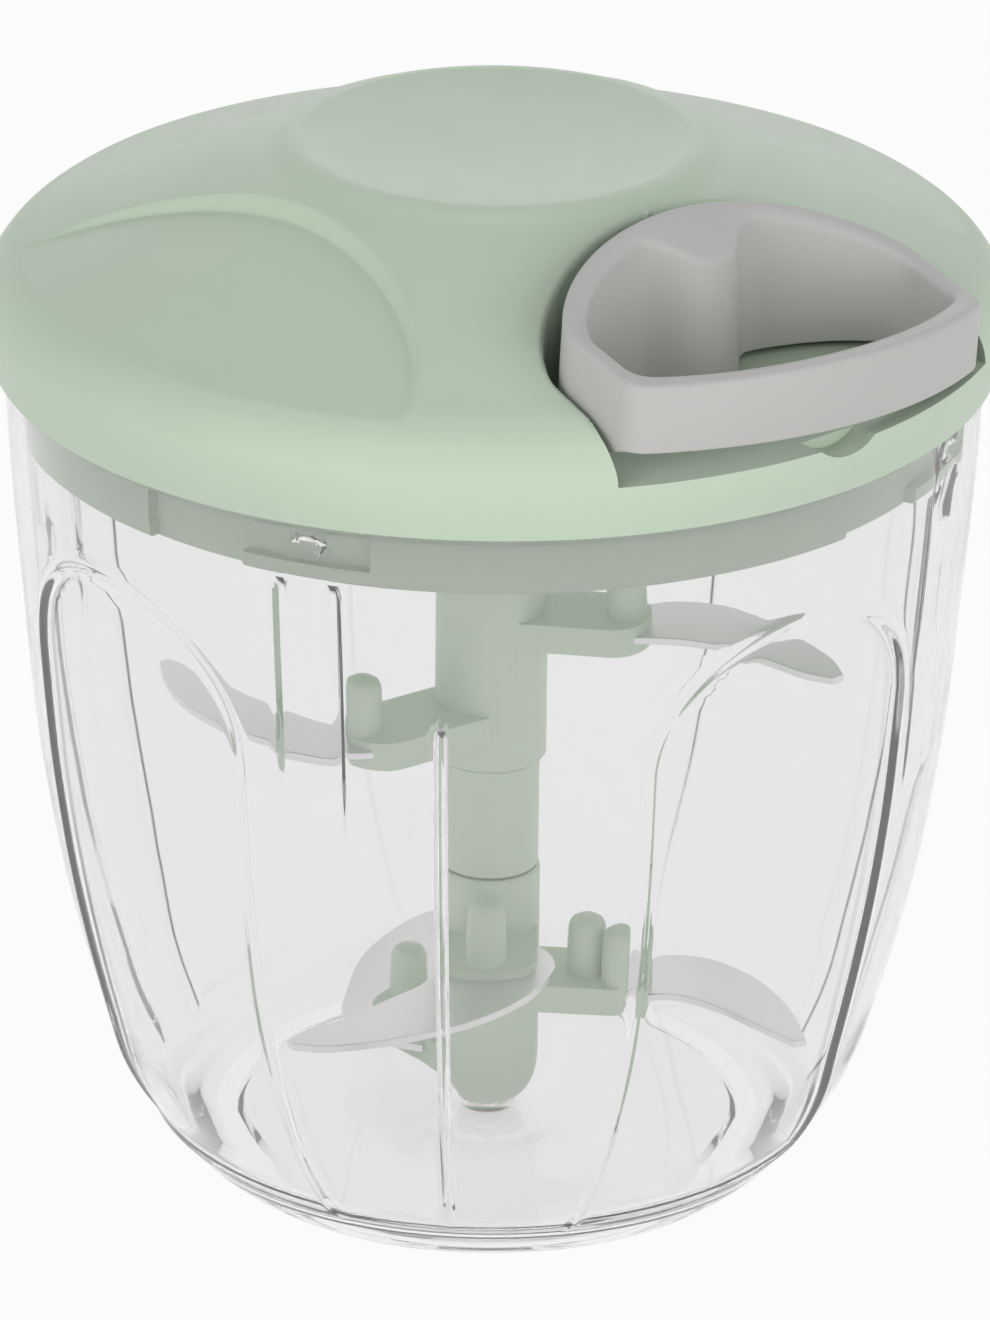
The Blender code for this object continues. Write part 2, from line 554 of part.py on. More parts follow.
# Lid base
def make_lid_base(materials):
    tube_radius = TUBE_BORE + BEARING_TUBE_WALL
    section = [(TUBE_BORE, BEARING_TUBE_FOOT), (TUBE_BORE, PLATE_TOP), (PLATE_RADIUS, PLATE_TOP),
               (PLATE_RADIUS, PLATE_UNDERSIDE), (SKIRT_RADIUS, PLATE_UNDERSIDE), (SKIRT_RADIUS, SKIRT_FOOT),
               (SKIRT_RADIUS - SKIRT_WALL, SKIRT_FOOT), (SKIRT_RADIUS - SKIRT_WALL, PLATE_UNDERSIDE),
               (tube_radius, PLATE_UNDERSIDE), (tube_radius, BEARING_TUBE_FOOT)]
    base = make_object(turned(section, ring=True), "lid_base", materials["lid_green"])
    slot_foot = LUG_MIDDLE - LUG_HEIGHT / 2 - LUG_DEPTH / 2
    slot_top = LUG_MIDDLE + LUG_HEIGHT / 2 + LUG_DEPTH / 2
    slot_floor = SKIRT_RADIUS - SKIRT_WALL + SLOT_FLOOR_WALL
    outside = SKIRT_RADIUS + 2 * MM
    for index in range(LUG_COUNT):
        lug = LUG_BEARING + index * 360.0 / LUG_COUNT
        right = lug + LUG_WIDTH_ANGLE / 2 + SLOT_SLACK_ANGLE
        left = lug - UNLOCK_ANGLE - LUG_WIDTH_ANGLE / 2 - SLOT_SLACK_ANGLE
        mouth_right = lug - UNLOCK_ANGLE + LUG_WIDTH_ANGLE / 2 + SLOT_SLACK_ANGLE / 2
        groove = [(slot_floor, slot_foot), (slot_floor, slot_top), (outside, slot_top), (outside, slot_foot)]
        cut = make_object(turned(groove, steps=8, ring=True, sweep=right - left, start=left - 90.0),
                          f"bayonet_groove_{index + 1}")
        boolean(base, cut)
        below = SKIRT_FOOT - 1 * MM
        mouth = [(slot_floor, below), (slot_floor, slot_top - GAP), (outside + GAP, slot_top - GAP),
                 (outside + GAP, below)]
        entry = make_object(turned(mouth, steps=5, ring=True, sweep=mouth_right - left - 0.5,
                                   start=left + 0.25 - 90.0), f"bayonet_mouth_{index + 1}")
        boolean(base, entry)
    for index, place in enumerate(screw_places()):
        hole = rod(SCREW_SHANK_RADIUS + GAP, PLATE_UNDERSIDE - 1 * MM, PLATE_TOP + 1 * MM, place, steps=12)
        boolean(base, make_object(hole, f"plate_hole_{index + 1}"))
    return base


def make_seal_ring(materials):
    outer = PLATE_RADIUS
    foot = BOWL_RIM_HEIGHT + GAP
    top = PLATE_UNDERSIDE - GAP
    bead = 0.4 * MM
    section = [(outer - SEAL_WIDTH, foot + bead), (outer - SEAL_WIDTH, top), (outer, top), (outer, foot + bead),
               (outer - bead, foot), (outer - SEAL_WIDTH + bead, foot)]
    return make_object(turned(section, ring=True), "seal_ring", materials["silicone"])


def make_screw(name, centre, seat, head_radius, head_height, shank_radius, length, material):
    """A self-tapping screw that points up, with its head under the seat and a cross recess in it."""
    top = seat + length
    section = [(0.0, seat - head_height), (head_radius * 0.7, seat - head_height),
               (head_radius, seat - head_height * 0.6), (head_radius, seat - GAP), (shank_radius, seat - GAP),
               (shank_radius, top - 2 * shank_radius), (shank_radius * 0.3, top), (0.0, top)]
    work = turned(section, steps=16)
    bmesh.ops.translate(work, verts=work.verts, vec=(*centre, 0.0))
    screw = make_object(work, name, material)
    blade = 0.35 * MM
    reach = head_radius * 0.55
    for index, turn in enumerate((0.0, 90.0)):
        bar = [Vector((-reach, -blade)), Vector((reach, -blade)), Vector((reach, blade)), Vector((-reach, blade))]
        spin = Matrix.Rotation(math.radians(turn), 2)
        placed = [spin @ point + Vector(centre) for point in bar]
        slot = prism(placed, seat - head_height - blade, seat - head_height * (0.42 + 0.02 * index))
        boolean(screw, make_object(slot, f"{name}_slot_{index + 1}"))
    return screw


def make_cover_screws(materials):
    for index, place in enumerate(screw_places()):
        make_screw(f"cover_screw_{index + 1}", tuple(place), PLATE_UNDERSIDE, SCREW_HEAD_RADIUS,
                   SCREW_HEAD_HEIGHT, SCREW_SHANK_RADIUS, SCREW_LENGTH, materials["steel"])


# Handle and cord
def handle_top(inward):
    """Height of the handle's top face, a distance behind its front edge."""
    return HANDLE_FRONT_TOP - HANDLE_TOP_FALL * inward + HANDLE_TOP_CURL * inward ** 2


def finger_outline():
    """The finger hole: the outline less its walls, with the cord boss bulging in at the back."""
    points = []
    middle = -(HANDLE_INNER + HANDLE_FRONT_RADIUS) / 2
    for point in ring_outline(HANDLE_INNER + HANDLE_BACK_WALL, HANDLE_HALF_WIDTH - HANDLE_SIDE_WALL,
                              HANDLE_INNER_CURVE - HANDLE_SIDE_WALL + HANDLE_BACK_WALL, HANDLE_CORNER * 0.7,
                              HANDLE_FRONT_RADIUS - HANDLE_FRONT_WALL):
        if abs(point.x) < HANDLE_BOSS_HALF_WIDTH and point.y > middle:
            bulge = HANDLE_BOSS_DEPTH * (1 + math.cos(math.pi * point.x / HANDLE_BOSS_HALF_WIDTH)) / 2
            point = point - Vector((0.0, bulge))
        points.append(point)
    return points


def make_pull_handle(materials):
    tilt_height = (HANDLE_BOTTOM + HANDLE_FRONT_TOP) / 2
    over = 40 * MM
    outline = ring_outline(HANDLE_INNER, HANDLE_HALF_WIDTH, HANDLE_INNER_CURVE, HANDLE_CORNER,
                           HANDLE_FRONT_RADIUS)
    handle = make_object(prism(outline, HANDLE_BOTTOM, HANDLE_BOTTOM + over), "pull_handle",
                         materials["handle_grey"])
    curve_steps = 10
    length = HANDLE_FRONT_RADIUS - HANDLE_INNER
    top = []
    for step in range(-1, curve_steps + 2):
        inward = length * step / curve_steps
        top.append((HANDLE_FRONT_RADIUS - inward, handle_top(inward)))
    ceiling = HANDLE_BOTTOM + 2 * over
    shear = bmesh.new()
    face = shear.faces.new([shear.verts.new((-over, -out, height)) for out, height in top]
                           + [shear.verts.new((-over, -top[-1][0], ceiling)),
                              shear.verts.new((-over, -top[0][0], ceiling))])
    moved = bmesh.ops.extrude_face_region(shear, geom=[face])["geom"]
    bmesh.ops.translate(shear, verts=[v for v in moved if isinstance(v, bmesh.types.BMVert)],
                        vec=(2 * over, 0, 0))
    boolean(handle, make_object(shear, "handle_top_cut"))
    below = HANDLE_BOTTOM - 1 * MM
    boolean(handle, make_object(prism(finger_outline(), below, HANDLE_BOTTOM + over + 1 * MM), "finger_space"))
    boss_face = HANDLE_INNER + CORD_BOSS_REACH
    boss = rod(CORD_BOSS_RADIUS, HANDLE_INNER + HANDLE_BACK_WALL / 2, boss_face, end_radius=CORD_BOSS_RADIUS * 0.9)
    boolean(handle, make_object(lay_along_y(boss, CORD_HEIGHT), "cord_boss"), "UNION")
    bore = rod(CORD_RADIUS + CORD_BORE_CLEARANCE, HANDLE_INNER - 2 * MM, boss_face + 2 * MM, steps=16)
    boolean(handle, make_object(lay_along_y(bore, CORD_HEIGHT), "handle_cord_bore"))
    seat = rod(KNOT_RADIUS + GAP, boss_face - KNOT_POCKET_DEPTH, boss_face + 3 * MM, steps=16)
    boolean(handle, make_object(lay_along_y(seat, CORD_HEIGHT), "knot_seat"))
    edge = handle.modifiers.new("soft_edges", "BEVEL")
    edge.width = 0.5 * MM
    edge.segments = 1
    edge.limit_method = "ANGLE"
    edge.angle_limit = math.radians(50)
    lean = bpy.data.objects.new("handle_lean", None)
    bpy.context.scene.collection.objects.link(lean)
    lean.location = (0.0, 0.0, tilt_height)
    for piece in [handle] + [modifier.object for modifier in handle.modifiers if modifier.type == "BOOLEAN"]:
        if piece.name in ("cord_boss", "handle_cord_bore", "knot_seat"):
            continue
        piece.data.transform(Matrix.Translation((0.0, 0.0, -tilt_height)))
        piece.parent = lean
    lean.rotation_euler = (0.0, math.radians(HANDLE_TILT), 0.0)
    return handle


def cord_tube(name, route, material, sides=2):
    """A cord along a smooth route through a few points, as a curve with a round bevel."""
    curve = bpy.data.curves.new(name, "CURVE")
    curve.dimensions = "3D"
    curve.bevel_depth = CORD_RADIUS
    curve.bevel_resolution = sides
    curve.use_fill_caps = True
    spline = curve.splines.new("POLY")
    spline.points.add(len(route) - 1)
    for point, place in zip(spline.points, route):
        point.co = (*place, 1.0)
    made = bpy.data.objects.new(name, curve)
    bpy.context.scene.collection.objects.link(made)
    curve.materials.append(material)
    return made


def make_cord(materials):
    """The cord leaves the winding along its tangent, bends at the eyelet and runs into the handle."""
    run_radius = WINDING_RADIUS + CORD_RADIUS + GAP
    straight = POCKET_INNER - POCKET_WALL - 1 * MM
    bearing = -math.degrees(math.acos(run_radius / (straight - 1.5 * MM)))
    start = polar(run_radius, bearing)
    bend = Vector((0.0, -straight + 1.5 * MM))
    joint_out = POCKET_INNER + CORD_RADIUS + GAP
    line = [start, start.lerp(bend, 0.35), start.lerp(bend, 0.7)]
    before = start.lerp(bend, 0.82)
    after = Vector((0.0, -straight - 1.2 * MM))
    for step in range(5):
        share = step / 4
        line.append(before.lerp(bend, share).lerp(bend.lerp(after, share), share))
    line.append(Vector((0.0, -joint_out)))
    lead = cord_tube("cord_lead", [(*point, CORD_HEIGHT) for point in line], materials["cord"])
    boss_face = HANDLE_INNER + CORD_BOSS_REACH
    knot_middle = boss_face - KNOT_POCKET_DEPTH + GAP + KNOT_RADIUS
    ends = (joint_out + GAP, knot_middle - KNOT_RADIUS - GAP)
    pulled = [(0.0, -(ends[0] + (ends[1] - ends[0]) * step / 2), CORD_HEIGHT) for step in range(3)]
    pull = cord_tube("cord_pull", pulled, materials["cord"])
    knot = bmesh.new()
    bmesh.ops.create_uvsphere(knot, u_segments=12, v_segments=8, radius=KNOT_RADIUS)
    bmesh.ops.translate(knot, verts=knot.verts, vec=(0.0, -knot_middle, CORD_HEIGHT))
    return lead, pull, make_object(knot, "cord_knot", materials["cord"], crease=80.0)


def make_eyelet(materials):
    bore = CORD_RADIUS + CORD_BORE_CLEARANCE
    tube = bore + EYELET_WALL
    face = POCKET_INNER
    section = [(bore, face - POCKET_WALL - 0.5 * MM), (bore, face + EYELET_FLANGE),
               (tube + EYELET_FLANGE, face + EYELET_FLANGE), (tube + EYELET_FLANGE, face + GAP),
               (tube, face + GAP), (tube, face - POCKET_WALL - 0.5 * MM)]
    return make_object(lay_along_y(turned(section, steps=SMALL_STEPS, ring=True), CORD_HEIGHT), "cord_eyelet",
                       materials["steel"])


# Reel, spring and drive
def make_reel(materials):
    post_bore = AXLE_POST_RADIUS + GAP
    cup_bore = SPRING_CUP_RADIUS - SPRING_CUP_WALL
    section = [(0.0, AXLE_POST_FOOT - GAP), (post_bore, AXLE_POST_FOOT - GAP), (post_bore, CUP_FLOOR),
               (cup_bore, CUP_FLOOR), (cup_bore, CUP_TOP), (SPRING_CUP_RADIUS, CUP_TOP),
               (SPRING_CUP_RADIUS, CUP_FLOOR), (REEL_FLANGE_RADIUS, CUP_FLOOR), (REEL_FLANGE_RADIUS, CHANNEL_TOP),
               (REEL_CORE_RADIUS, CHANNEL_TOP), (REEL_CORE_RADIUS, CHANNEL_FOOT),
               (REEL_FLANGE_RADIUS, CHANNEL_FOOT), (REEL_FLANGE_RADIUS, LOWER_FLANGE_FOOT),
               (REEL_HUB_RADIUS, LOWER_FLANGE_FOOT), (REEL_HUB_RADIUS, REEL_FOOT), (0.0, REEL_FOOT)]
    reel = make_object(turned(section), "reel", materials["white"])
    key = rod(SPINDLE_RADIUS + GAP, REEL_FOOT - 1 * MM, SPINDLE_TOP + GAP, steps=6)
    boolean(reel, make_object(key, "reel_key_bore"))
    pilot = rod(SPINDLE_SCREW_RADIUS + GAP, SPINDLE_TOP - 1 * MM, AXLE_POST_FOOT + 1 * MM, steps=12)
    boolean(reel, make_object(pilot, "reel_screw_pilot"))
    return reel


def make_spring_cap(materials):
    foot = CUP_TOP + GAP
    section = [(AXLE_POST_RADIUS + 2 * GAP, foot), (AXLE_POST_RADIUS + 2 * GAP, foot + SPRING_CAP_THICKNESS),
               (SPRING_CUP_RADIUS, foot + SPRING_CAP_THICKNESS), (SPRING_CUP_RADIUS, foot)]
    return make_object(turned(section, ring=True), "spring_cap", materials["steel"])


def make_recoil_spring(materials):
    """A flat strip wound on edge: an even spiral from the axle post out to the wall of the cup."""
    inner = AXLE_POST_RADIUS + GAP + SPRING_THICKNESS / 2
    outer = SPRING_CUP_RADIUS - SPRING_CUP_WALL - GAP - SPRING_THICKNESS / 2
    count = SPRING_TURNS * 24
    foot = CUP_FLOOR + GAP
    work = bmesh.new()
    inside, outside = [], []
    for step in range(count + 1):
        share = step / count
        radius = inner + (outer - inner) * share
        bearing = 360.0 * SPRING_TURNS * share
        inside.append(polar(radius - SPRING_THICKNESS / 2, bearing))
        outside.append(polar(radius + SPRING_THICKNESS / 2, bearing))
    lower = [[work.verts.new((*point, foot)) for point in side] for side in (inside, outside)]
    for step in range(count):
        work.faces.new((lower[0][step], lower[0][step + 1], lower[1][step + 1], lower[1][step]))
    raised = bmesh.ops.extrude_face_region(work, geom=list(work.faces))["geom"]
    bmesh.ops.translate(work, verts=[v for v in raised if isinstance(v, bmesh.types.BMVert)],
                        vec=(0, 0, SPRING_HEIGHT))
    least = (outer - inner) / SPRING_TURNS - SPRING_THICKNESS
    print("recoil spring: least gap between turns", round(least / MM, 2), "mm")
    return make_object(work, "recoil_spring", materials["steel"])


def make_winding(materials):
    section = [(REEL_CORE_RADIUS + GAP, CHANNEL_FOOT + GAP), (REEL_CORE_RADIUS + GAP, CHANNEL_TOP - GAP),
               (WINDING_RADIUS, CHANNEL_TOP - GAP), (WINDING_RADIUS, CHANNEL_FOOT + GAP)]
    return make_object(turned(section, ring=True), "cord_winding", materials["cord"])


def make_drive_spindle(materials):
    section = [(0.0, COLLAR_FOOT), (SPINDLE_COLLAR_RADIUS, COLLAR_FOOT), (SPINDLE_COLLAR_RADIUS, COLLAR_TOP),
               (SPINDLE_RADIUS, COLLAR_TOP), (SPINDLE_RADIUS, REEL_FOOT - GAP), (0.0, REEL_FOOT - GAP)]
    spindle = make_object(turned(section, steps=SMALL_STEPS), "drive_spindle", materials["white"])
    join = 1 * MM
    drive = rod(SPINDLE_HEX_RADIUS, SPINDLE_FOOT, COLLAR_FOOT + join, steps=6)
    boolean(spindle, make_object(drive, "spindle_drive_hex"), "UNION")
    key = rod(SPINDLE_RADIUS, REEL_FOOT - GAP - join, SPINDLE_TOP, steps=6)
    boolean(spindle, make_object(key, "spindle_key_hex"), "UNION")
    head_seat = SPINDLE_TOP - 3 * MM
    well = rod(SPINDLE_SCREW_HEAD + GAP, SPINDLE_FOOT - join, head_seat, steps=16)
    boolean(spindle, make_object(well, "spindle_well"))
    hole = rod(SPINDLE_SCREW_RADIUS + GAP, head_seat - join, SPINDLE_TOP + join, steps=12)
    boolean(spindle, make_object(hole, "spindle_screw_hole"))
    make_screw("spindle_screw", (0.0, 0.0), head_seat, SPINDLE_SCREW_HEAD, 1.5 * MM, SPINDLE_SCREW_RADIUS,
               AXLE_POST_FOOT - head_seat - 2 * GAP, materials["steel"])
    return spindle


def make_spindle_bush(materials):
    foot = BEARING_TUBE_FOOT + GAP
    flange = PLATE_TOP + GAP
    section = [(BUSH_BORE, foot), (BUSH_BORE, BUSH_TOP), (BUSH_FLANGE_RADIUS, BUSH_TOP),
               (BUSH_FLANGE_RADIUS, flange), (BUSH_RADIUS, flange), (BUSH_RADIUS, foot)]
    return make_object(turned(section, steps=SMALL_STEPS, ring=True), "spindle_bush", materials["brass"])


# Rotor
def blade_solid(height, arm, sweep, rise, tip, grow=0.0, back=0.0):
    """A sickle leaf: flat in its arm, then swinging back and rising as it runs out to a point."""
    steps = 10
    left, right = [], []
    line = []
    for step in range(steps + 1):
        share = step / steps
        radius = BLADE_ROOT_RADIUS - back + (tip - BLADE_ROOT_RADIUS + back) * share
        line.append(polar(radius, arm + sweep * 0.12 - sweep * 1.12 * share ** 1.5))
    for step in range(steps):
        share = step / steps
        along = (line[step + 1] - line[max(step - 1, 0)]).normalized()
        across = Vector((along.y, -along.x))
        half = BLADE_HALF_WIDTH * (1 - share ** 2.6) ** 0.6 + grow
        left.append(line[step] - across * half)
        right.append(line[step] + across * half * (1 - 0.35 * math.sin(math.pi * share) ** 2))
    outline = left + [line[-1]] + right[::-1]
    half_thick = BLADE_THICKNESS / 2 + grow
    work = prism(outline, height - half_thick, height + half_thick)
    for vert in work.verts:
        distance = math.hypot(vert.co.x, vert.co.y)
        vert.co.z += rise * max(0.0, distance - BLADE_BEND_RADIUS) / (tip - BLADE_BEND_RADIUS)
    return work


def make_hub(name, hub, section, bore_tools, material):
    """A hub with one arm and its clamping posts for each of its blades, and a slot for each root."""
    body = make_object(turned(section, steps=SMALL_STEPS), name, material)
    for blade, owner, height, arm, sweep, rise, tip, posts in BLADES:
        if owner != hub:
            continue
        side = ARM_WIDTH / 2
        shoulder = max(ARM_REACH, posts[-1] + POST_RADIUS) - side
        bar = [Vector((side, 0.0)), Vector((side, -shoulder))]
        bar += [Vector((side * math.cos(turn), -shoulder - side * 0.55 * math.sin(turn)))
                for turn in (math.pi * step / 8 for step in range(1, 8))]
        bar += [Vector((-side, -shoulder)), Vector((-side, 0.0))]
        turn = Matrix.Rotation(math.radians(arm), 2)
        placed = [turn @ point for point in bar]
        beam = make_object(prism(placed, height - ARM_HEIGHT / 2, height + ARM_HEIGHT / 2), f"{blade}_arm")
        boolean(body, beam, "UNION")
        for index, distance in enumerate(posts):
            post = rod(POST_RADIUS, height + ARM_HEIGHT / 4, height + ARM_HEIGHT / 2 + POST_HEIGHT,
                       polar(distance, arm), steps=16, end_radius=POST_RADIUS * 0.86)
            boolean(body, make_object(post, f"{blade}_post_{index + 1}"), "UNION")
    for tool in bore_tools:
        boolean(body, tool)
    for blade, owner, height, arm, sweep, rise, tip, posts in BLADES:
        if owner == hub:
            slot = blade_solid(height, arm, sweep, rise, tip, GAP, 2 * GAP)
            boolean(body, make_object(slot, f"{blade}_slot"))
    return body


def make_rotor(materials):
    spigot_bore = SPIGOT_RADIUS + GAP
    shaft_foot = LOWER_HUB_TOP + GAP
    shaft_top = UPPER_HUB_FOOT - GAP
    spigot_foot = shaft_foot - LOWER_SPIGOT_LENGTH
    spigot_top = ROTOR_TOP - SPINDLE_HEX_LENGTH - 2 * MM
    shaft = [(0.0, spigot_foot), (SPIGOT_RADIUS, spigot_foot), (SPIGOT_RADIUS, shaft_foot),
             (SHAFT_RADIUS, shaft_foot), (SHAFT_RADIUS, shaft_top), (SPIGOT_RADIUS, shaft_top),
             (SPIGOT_RADIUS, spigot_top), (0.0, spigot_top)]
    make_object(turned(shaft, steps=SMALL_STEPS), "rotor_shaft", materials["rotor_green"])

    fillet = 2.2 * MM
    lower = [(0.0, ROTOR_FOOT), (LOWER_HUB_RADIUS - fillet, ROTOR_FOOT),
             (LOWER_HUB_RADIUS - fillet * 0.3, ROTOR_FOOT + fillet * 0.3),
             (LOWER_HUB_RADIUS, ROTOR_FOOT + fillet), (LOWER_HUB_RADIUS, LOWER_HUB_TOP), (0.0, LOWER_HUB_TOP)]
    boss_well = rod(PIVOT_BOSS_RADIUS + 1.2 * MM, ROTOR_FOOT - 1 * MM, PIVOT_BOSS_TOP + 2 * GAP)
    pin_bore = rod(PIVOT_RADIUS + GAP, ROTOR_FOOT, PIVOT_TOP + GAP, steps=12)
    socket = rod(spigot_bore, spigot_foot - GAP, LOWER_HUB_TOP + 1 * MM)
    tools = [make_object(boss_well, "pivot_well"), make_object(pin_bore, "pivot_bore"),
             make_object(socket, "lower_spigot_bore")]
    make_hub("lower_blade_hub", "lower", lower, tools, materials["rotor_green"])

    upper = [(0.0, UPPER_HUB_FOOT), (UPPER_HUB_RADIUS, UPPER_HUB_FOOT), (UPPER_HUB_RADIUS, ROTOR_TOP),
             (0.0, ROTOR_TOP)]
    bore = rod(spigot_bore, UPPER_HUB_FOOT - 1 * MM, spigot_top + GAP)
    hex_socket = rod(SPINDLE_HEX_RADIUS + SOCKET_SLACK, SPINDLE_FOOT - 2 * GAP, ROTOR_TOP + 1 * MM, steps=6)
    tools = [make_object(bore, "upper_spigot_bore"), make_object(hex_socket, "hex_socket")]
    make_hub("upper_blade_hub", "upper", upper, tools, materials["rotor_green"])

    for name, _, height, arm, sweep, rise, tip, _ in BLADES:
        make_object(blade_solid(height, arm, sweep, rise, tip), name, materials["steel"], crease=30.0)


def build():
    for stale in list(bpy.data.objects):
        bpy.data.objects.remove(stale, do_unlink=True)
    materials = make_materials()
    make_bowl(materials)
    make_pivot_pin(materials)
    make_lid_cover(materials)
    make_lid_base(materials)
    make_seal_ring(materials)
    make_cover_screws(materials)
    make_pull_handle(materials)
    make_cord(materials)
    make_eyelet(materials)
    make_reel(materials)
    make_spring_cap(materials)
    make_recoil_spring(materials)
    make_winding(materials)
    make_drive_spindle(materials)
    make_spindle_bush(materials)
    make_rotor(materials)
    bpy.context.view_layer.update()


build()
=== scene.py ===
"""A hand-pulled vegetable chopper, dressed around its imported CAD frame.

The pull handle faces -Y. A bearing is an angle from there towards +X, in degrees.
"""
import bisect
import math

import bmesh
import bpy
from mathutils import Matrix, Vector


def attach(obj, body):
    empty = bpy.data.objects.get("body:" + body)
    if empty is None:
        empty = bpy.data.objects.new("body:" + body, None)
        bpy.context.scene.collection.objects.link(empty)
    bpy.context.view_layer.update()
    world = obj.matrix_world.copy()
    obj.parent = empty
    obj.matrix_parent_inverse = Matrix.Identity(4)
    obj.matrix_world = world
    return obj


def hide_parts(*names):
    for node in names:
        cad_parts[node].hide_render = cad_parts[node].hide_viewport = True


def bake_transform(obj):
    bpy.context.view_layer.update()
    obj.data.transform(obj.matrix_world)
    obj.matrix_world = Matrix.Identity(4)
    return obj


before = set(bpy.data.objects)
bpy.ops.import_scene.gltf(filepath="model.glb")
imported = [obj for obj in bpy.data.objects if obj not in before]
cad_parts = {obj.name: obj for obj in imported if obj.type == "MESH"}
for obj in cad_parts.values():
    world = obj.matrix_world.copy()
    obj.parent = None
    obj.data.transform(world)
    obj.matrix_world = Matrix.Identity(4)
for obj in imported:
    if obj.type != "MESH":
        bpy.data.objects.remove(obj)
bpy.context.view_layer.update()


# Table, lamps and camera
# The chopper stands on a white table in a white room, between two broad lamps beside the camera.
# The camera looks down on the lid from the front left, where the photograph was taken.
class Wire:
    """An output of a shader node; Python's operators on it add Math nodes to the same tree."""

    def __init__(self, board, socket):
        self.board = board
        self.socket = socket

    def maths(self, operation, other):
        return self.board.node("Math", {"operation": operation}, {0: self, 1: other})

    def __add__(self, other):
        return self.maths("ADD", other)

    def __mul__(self, other):
        return self.maths("MULTIPLY", other)

    __radd__ = __add__
    __rmul__ = __mul__


class Board:
    """A node tree, with one method that adds any node to it."""

    def __init__(self, tree):
        self.tree = tree

    def node(self, kind, settings=None, sockets=None, output=0):
        made = self.tree.nodes.new("ShaderNode" + kind)
        for name, value in (settings or {}).items():
            setattr(made, name, value)
        for name, value in (sockets or {}).items():
            self.plug(value, made.inputs[name])
        return Wire(self, made.outputs[output])

    def plug(self, value, socket):
        if isinstance(value, Wire):
            self.tree.links.new(value.socket, socket)
        else:
            socket.default_value = value


def seen_directly(board):
    """1 for the rays that meet the white from the camera, in a gloss or through the bowl."""
    camera, gloss, through = (board.node("LightPath", output=f"Is {kind} Ray")
                              for kind in ("Camera", "Glossy", "Transmission"))
    return camera.maths("MAXIMUM", gloss.maths("MAXIMUM", through))


def make_room(strength):
    """A white room that lights the chopper at a strength, and looks pure white itself."""
    room = bpy.data.worlds.new("white_room")
    room.use_nodes = True
    bpy.context.scene.world = room
    board = Board(room.node_tree)
    background = room.node_tree.nodes["Background"]
    background.inputs["Color"].default_value = (1.0, 1.0, 1.0, 1.0)
    shown = seen_directly(board) * (1.0 - strength) + strength
    board.plug(shown, background.inputs["Strength"])


def make_table(size, own_white):
    """A white table whose own light fills most of its shadow, as on a bright sweep of paper."""
    work = bmesh.new()
    bmesh.ops.create_grid(work, x_segments=1, y_segments=1, size=size)
    mesh = bpy.data.meshes.new("table")
    work.to_mesh(mesh)
    work.free()
    table = bpy.data.objects.new("table", mesh)
    bpy.context.scene.collection.objects.link(table)
    white = bpy.data.materials.new("white_table")
    white.use_nodes = True
    white.node_tree.nodes.clear()
    board = Board(white.node_tree)
    paper = board.node("BsdfDiffuse", sockets={"Color": (0.82, 0.82, 0.82, 1.0)})
    glow = board.node("Emission", sockets={"Color": (1.0, 1.0, 1.0, 1.0), "Strength": 1.0})
    share = seen_directly(board) * own_white
    mixed = board.node("MixShader", sockets={0: share, 1: paper, 2: glow})
    end = white.node_tree.nodes.new("ShaderNodeOutputMaterial")
    board.plug(mixed, end.inputs["Surface"])
    mesh.materials.append(white)


def polar(radius, bearing):
    """The point at a radius and a bearing from the handle's direction."""
    turn = math.radians(bearing)
    return Vector((radius * math.sin(turn), -radius * math.cos(turn)))


def make_lamp(name, bearing, distance, height, size, power, glossy=False):
    """A square soft lamp, aimed at the middle of the chopper."""
    lamp = bpy.data.lights.new(name, "AREA")
    lamp.shape = "SQUARE"
    lamp.size = size
    lamp.energy = power
    holder = bpy.data.objects.new(name, lamp)
    bpy.context.scene.collection.objects.link(holder)
    holder.visible_glossy = glossy
    holder.visible_transmission = False
    place = Vector((*polar(distance, bearing), height))
    aim = (Vector((0.0, 0.0, 0.08)) - place).to_track_quat("-Z", "Y")
    holder.matrix_world = Matrix.Translation(place) @ aim.to_matrix().to_4x4()


def make_camera(place, heading, pitch, roll, lens):
    camera = bpy.data.objects.new("camera", bpy.data.cameras.new("camera"))
    bpy.context.scene.collection.objects.link(camera)
    camera.data.sensor_width = 36.0
    camera.data.lens = lens
    camera.data.clip_start = 0.05
    camera.data.clip_end = 20.0
    turned = Matrix.Rotation(math.radians(heading), 4, "Z")
    tipped = Matrix.Rotation(math.radians(90.0 - pitch), 4, "X")
    rolled = Matrix.Rotation(math.radians(roll), 4, "Z")
    camera.matrix_world = Matrix.Translation(place) @ (turned @ tipped @ rolled)
    bpy.context.scene.camera = camera


bpy.context.scene.view_settings.view_transform = "Standard"
make_room(strength=0.41)
make_table(size=2.5, own_white=0.93)
make_lamp("left_lamp", bearing=-85.0, distance=1.3, height=0.5, size=0.9, power=10.4)
make_lamp("right_lamp", bearing=5.0, distance=1.3, height=0.42, size=0.9, power=10.6)
make_lamp("back_lamp", bearing=138.0, distance=1.6, height=0.75, size=1.1, power=3.9, glossy=True)
make_camera(place=(-0.6730, -0.7553, 0.5187), heading=-41.729, pitch=24.077, roll=0.602, lens=233.8)


# Bowl
# A tapered bowl, injection moulded in one piece of clear plastic. Its outside has four arched panels.
# Its inside has four thin ribs, and four lugs for the lid's bayonet with a shallow strip below each.
MM = 0.001
BOWL_TURN = -2.6
BOWL_WALL = 2.0 * MM


def bearing_of(place):
    return math.degrees(math.atan2(place.x, -place.y))


def in_metres(points):
    return [Vector((across * MM, along * MM)) for across, along in points]


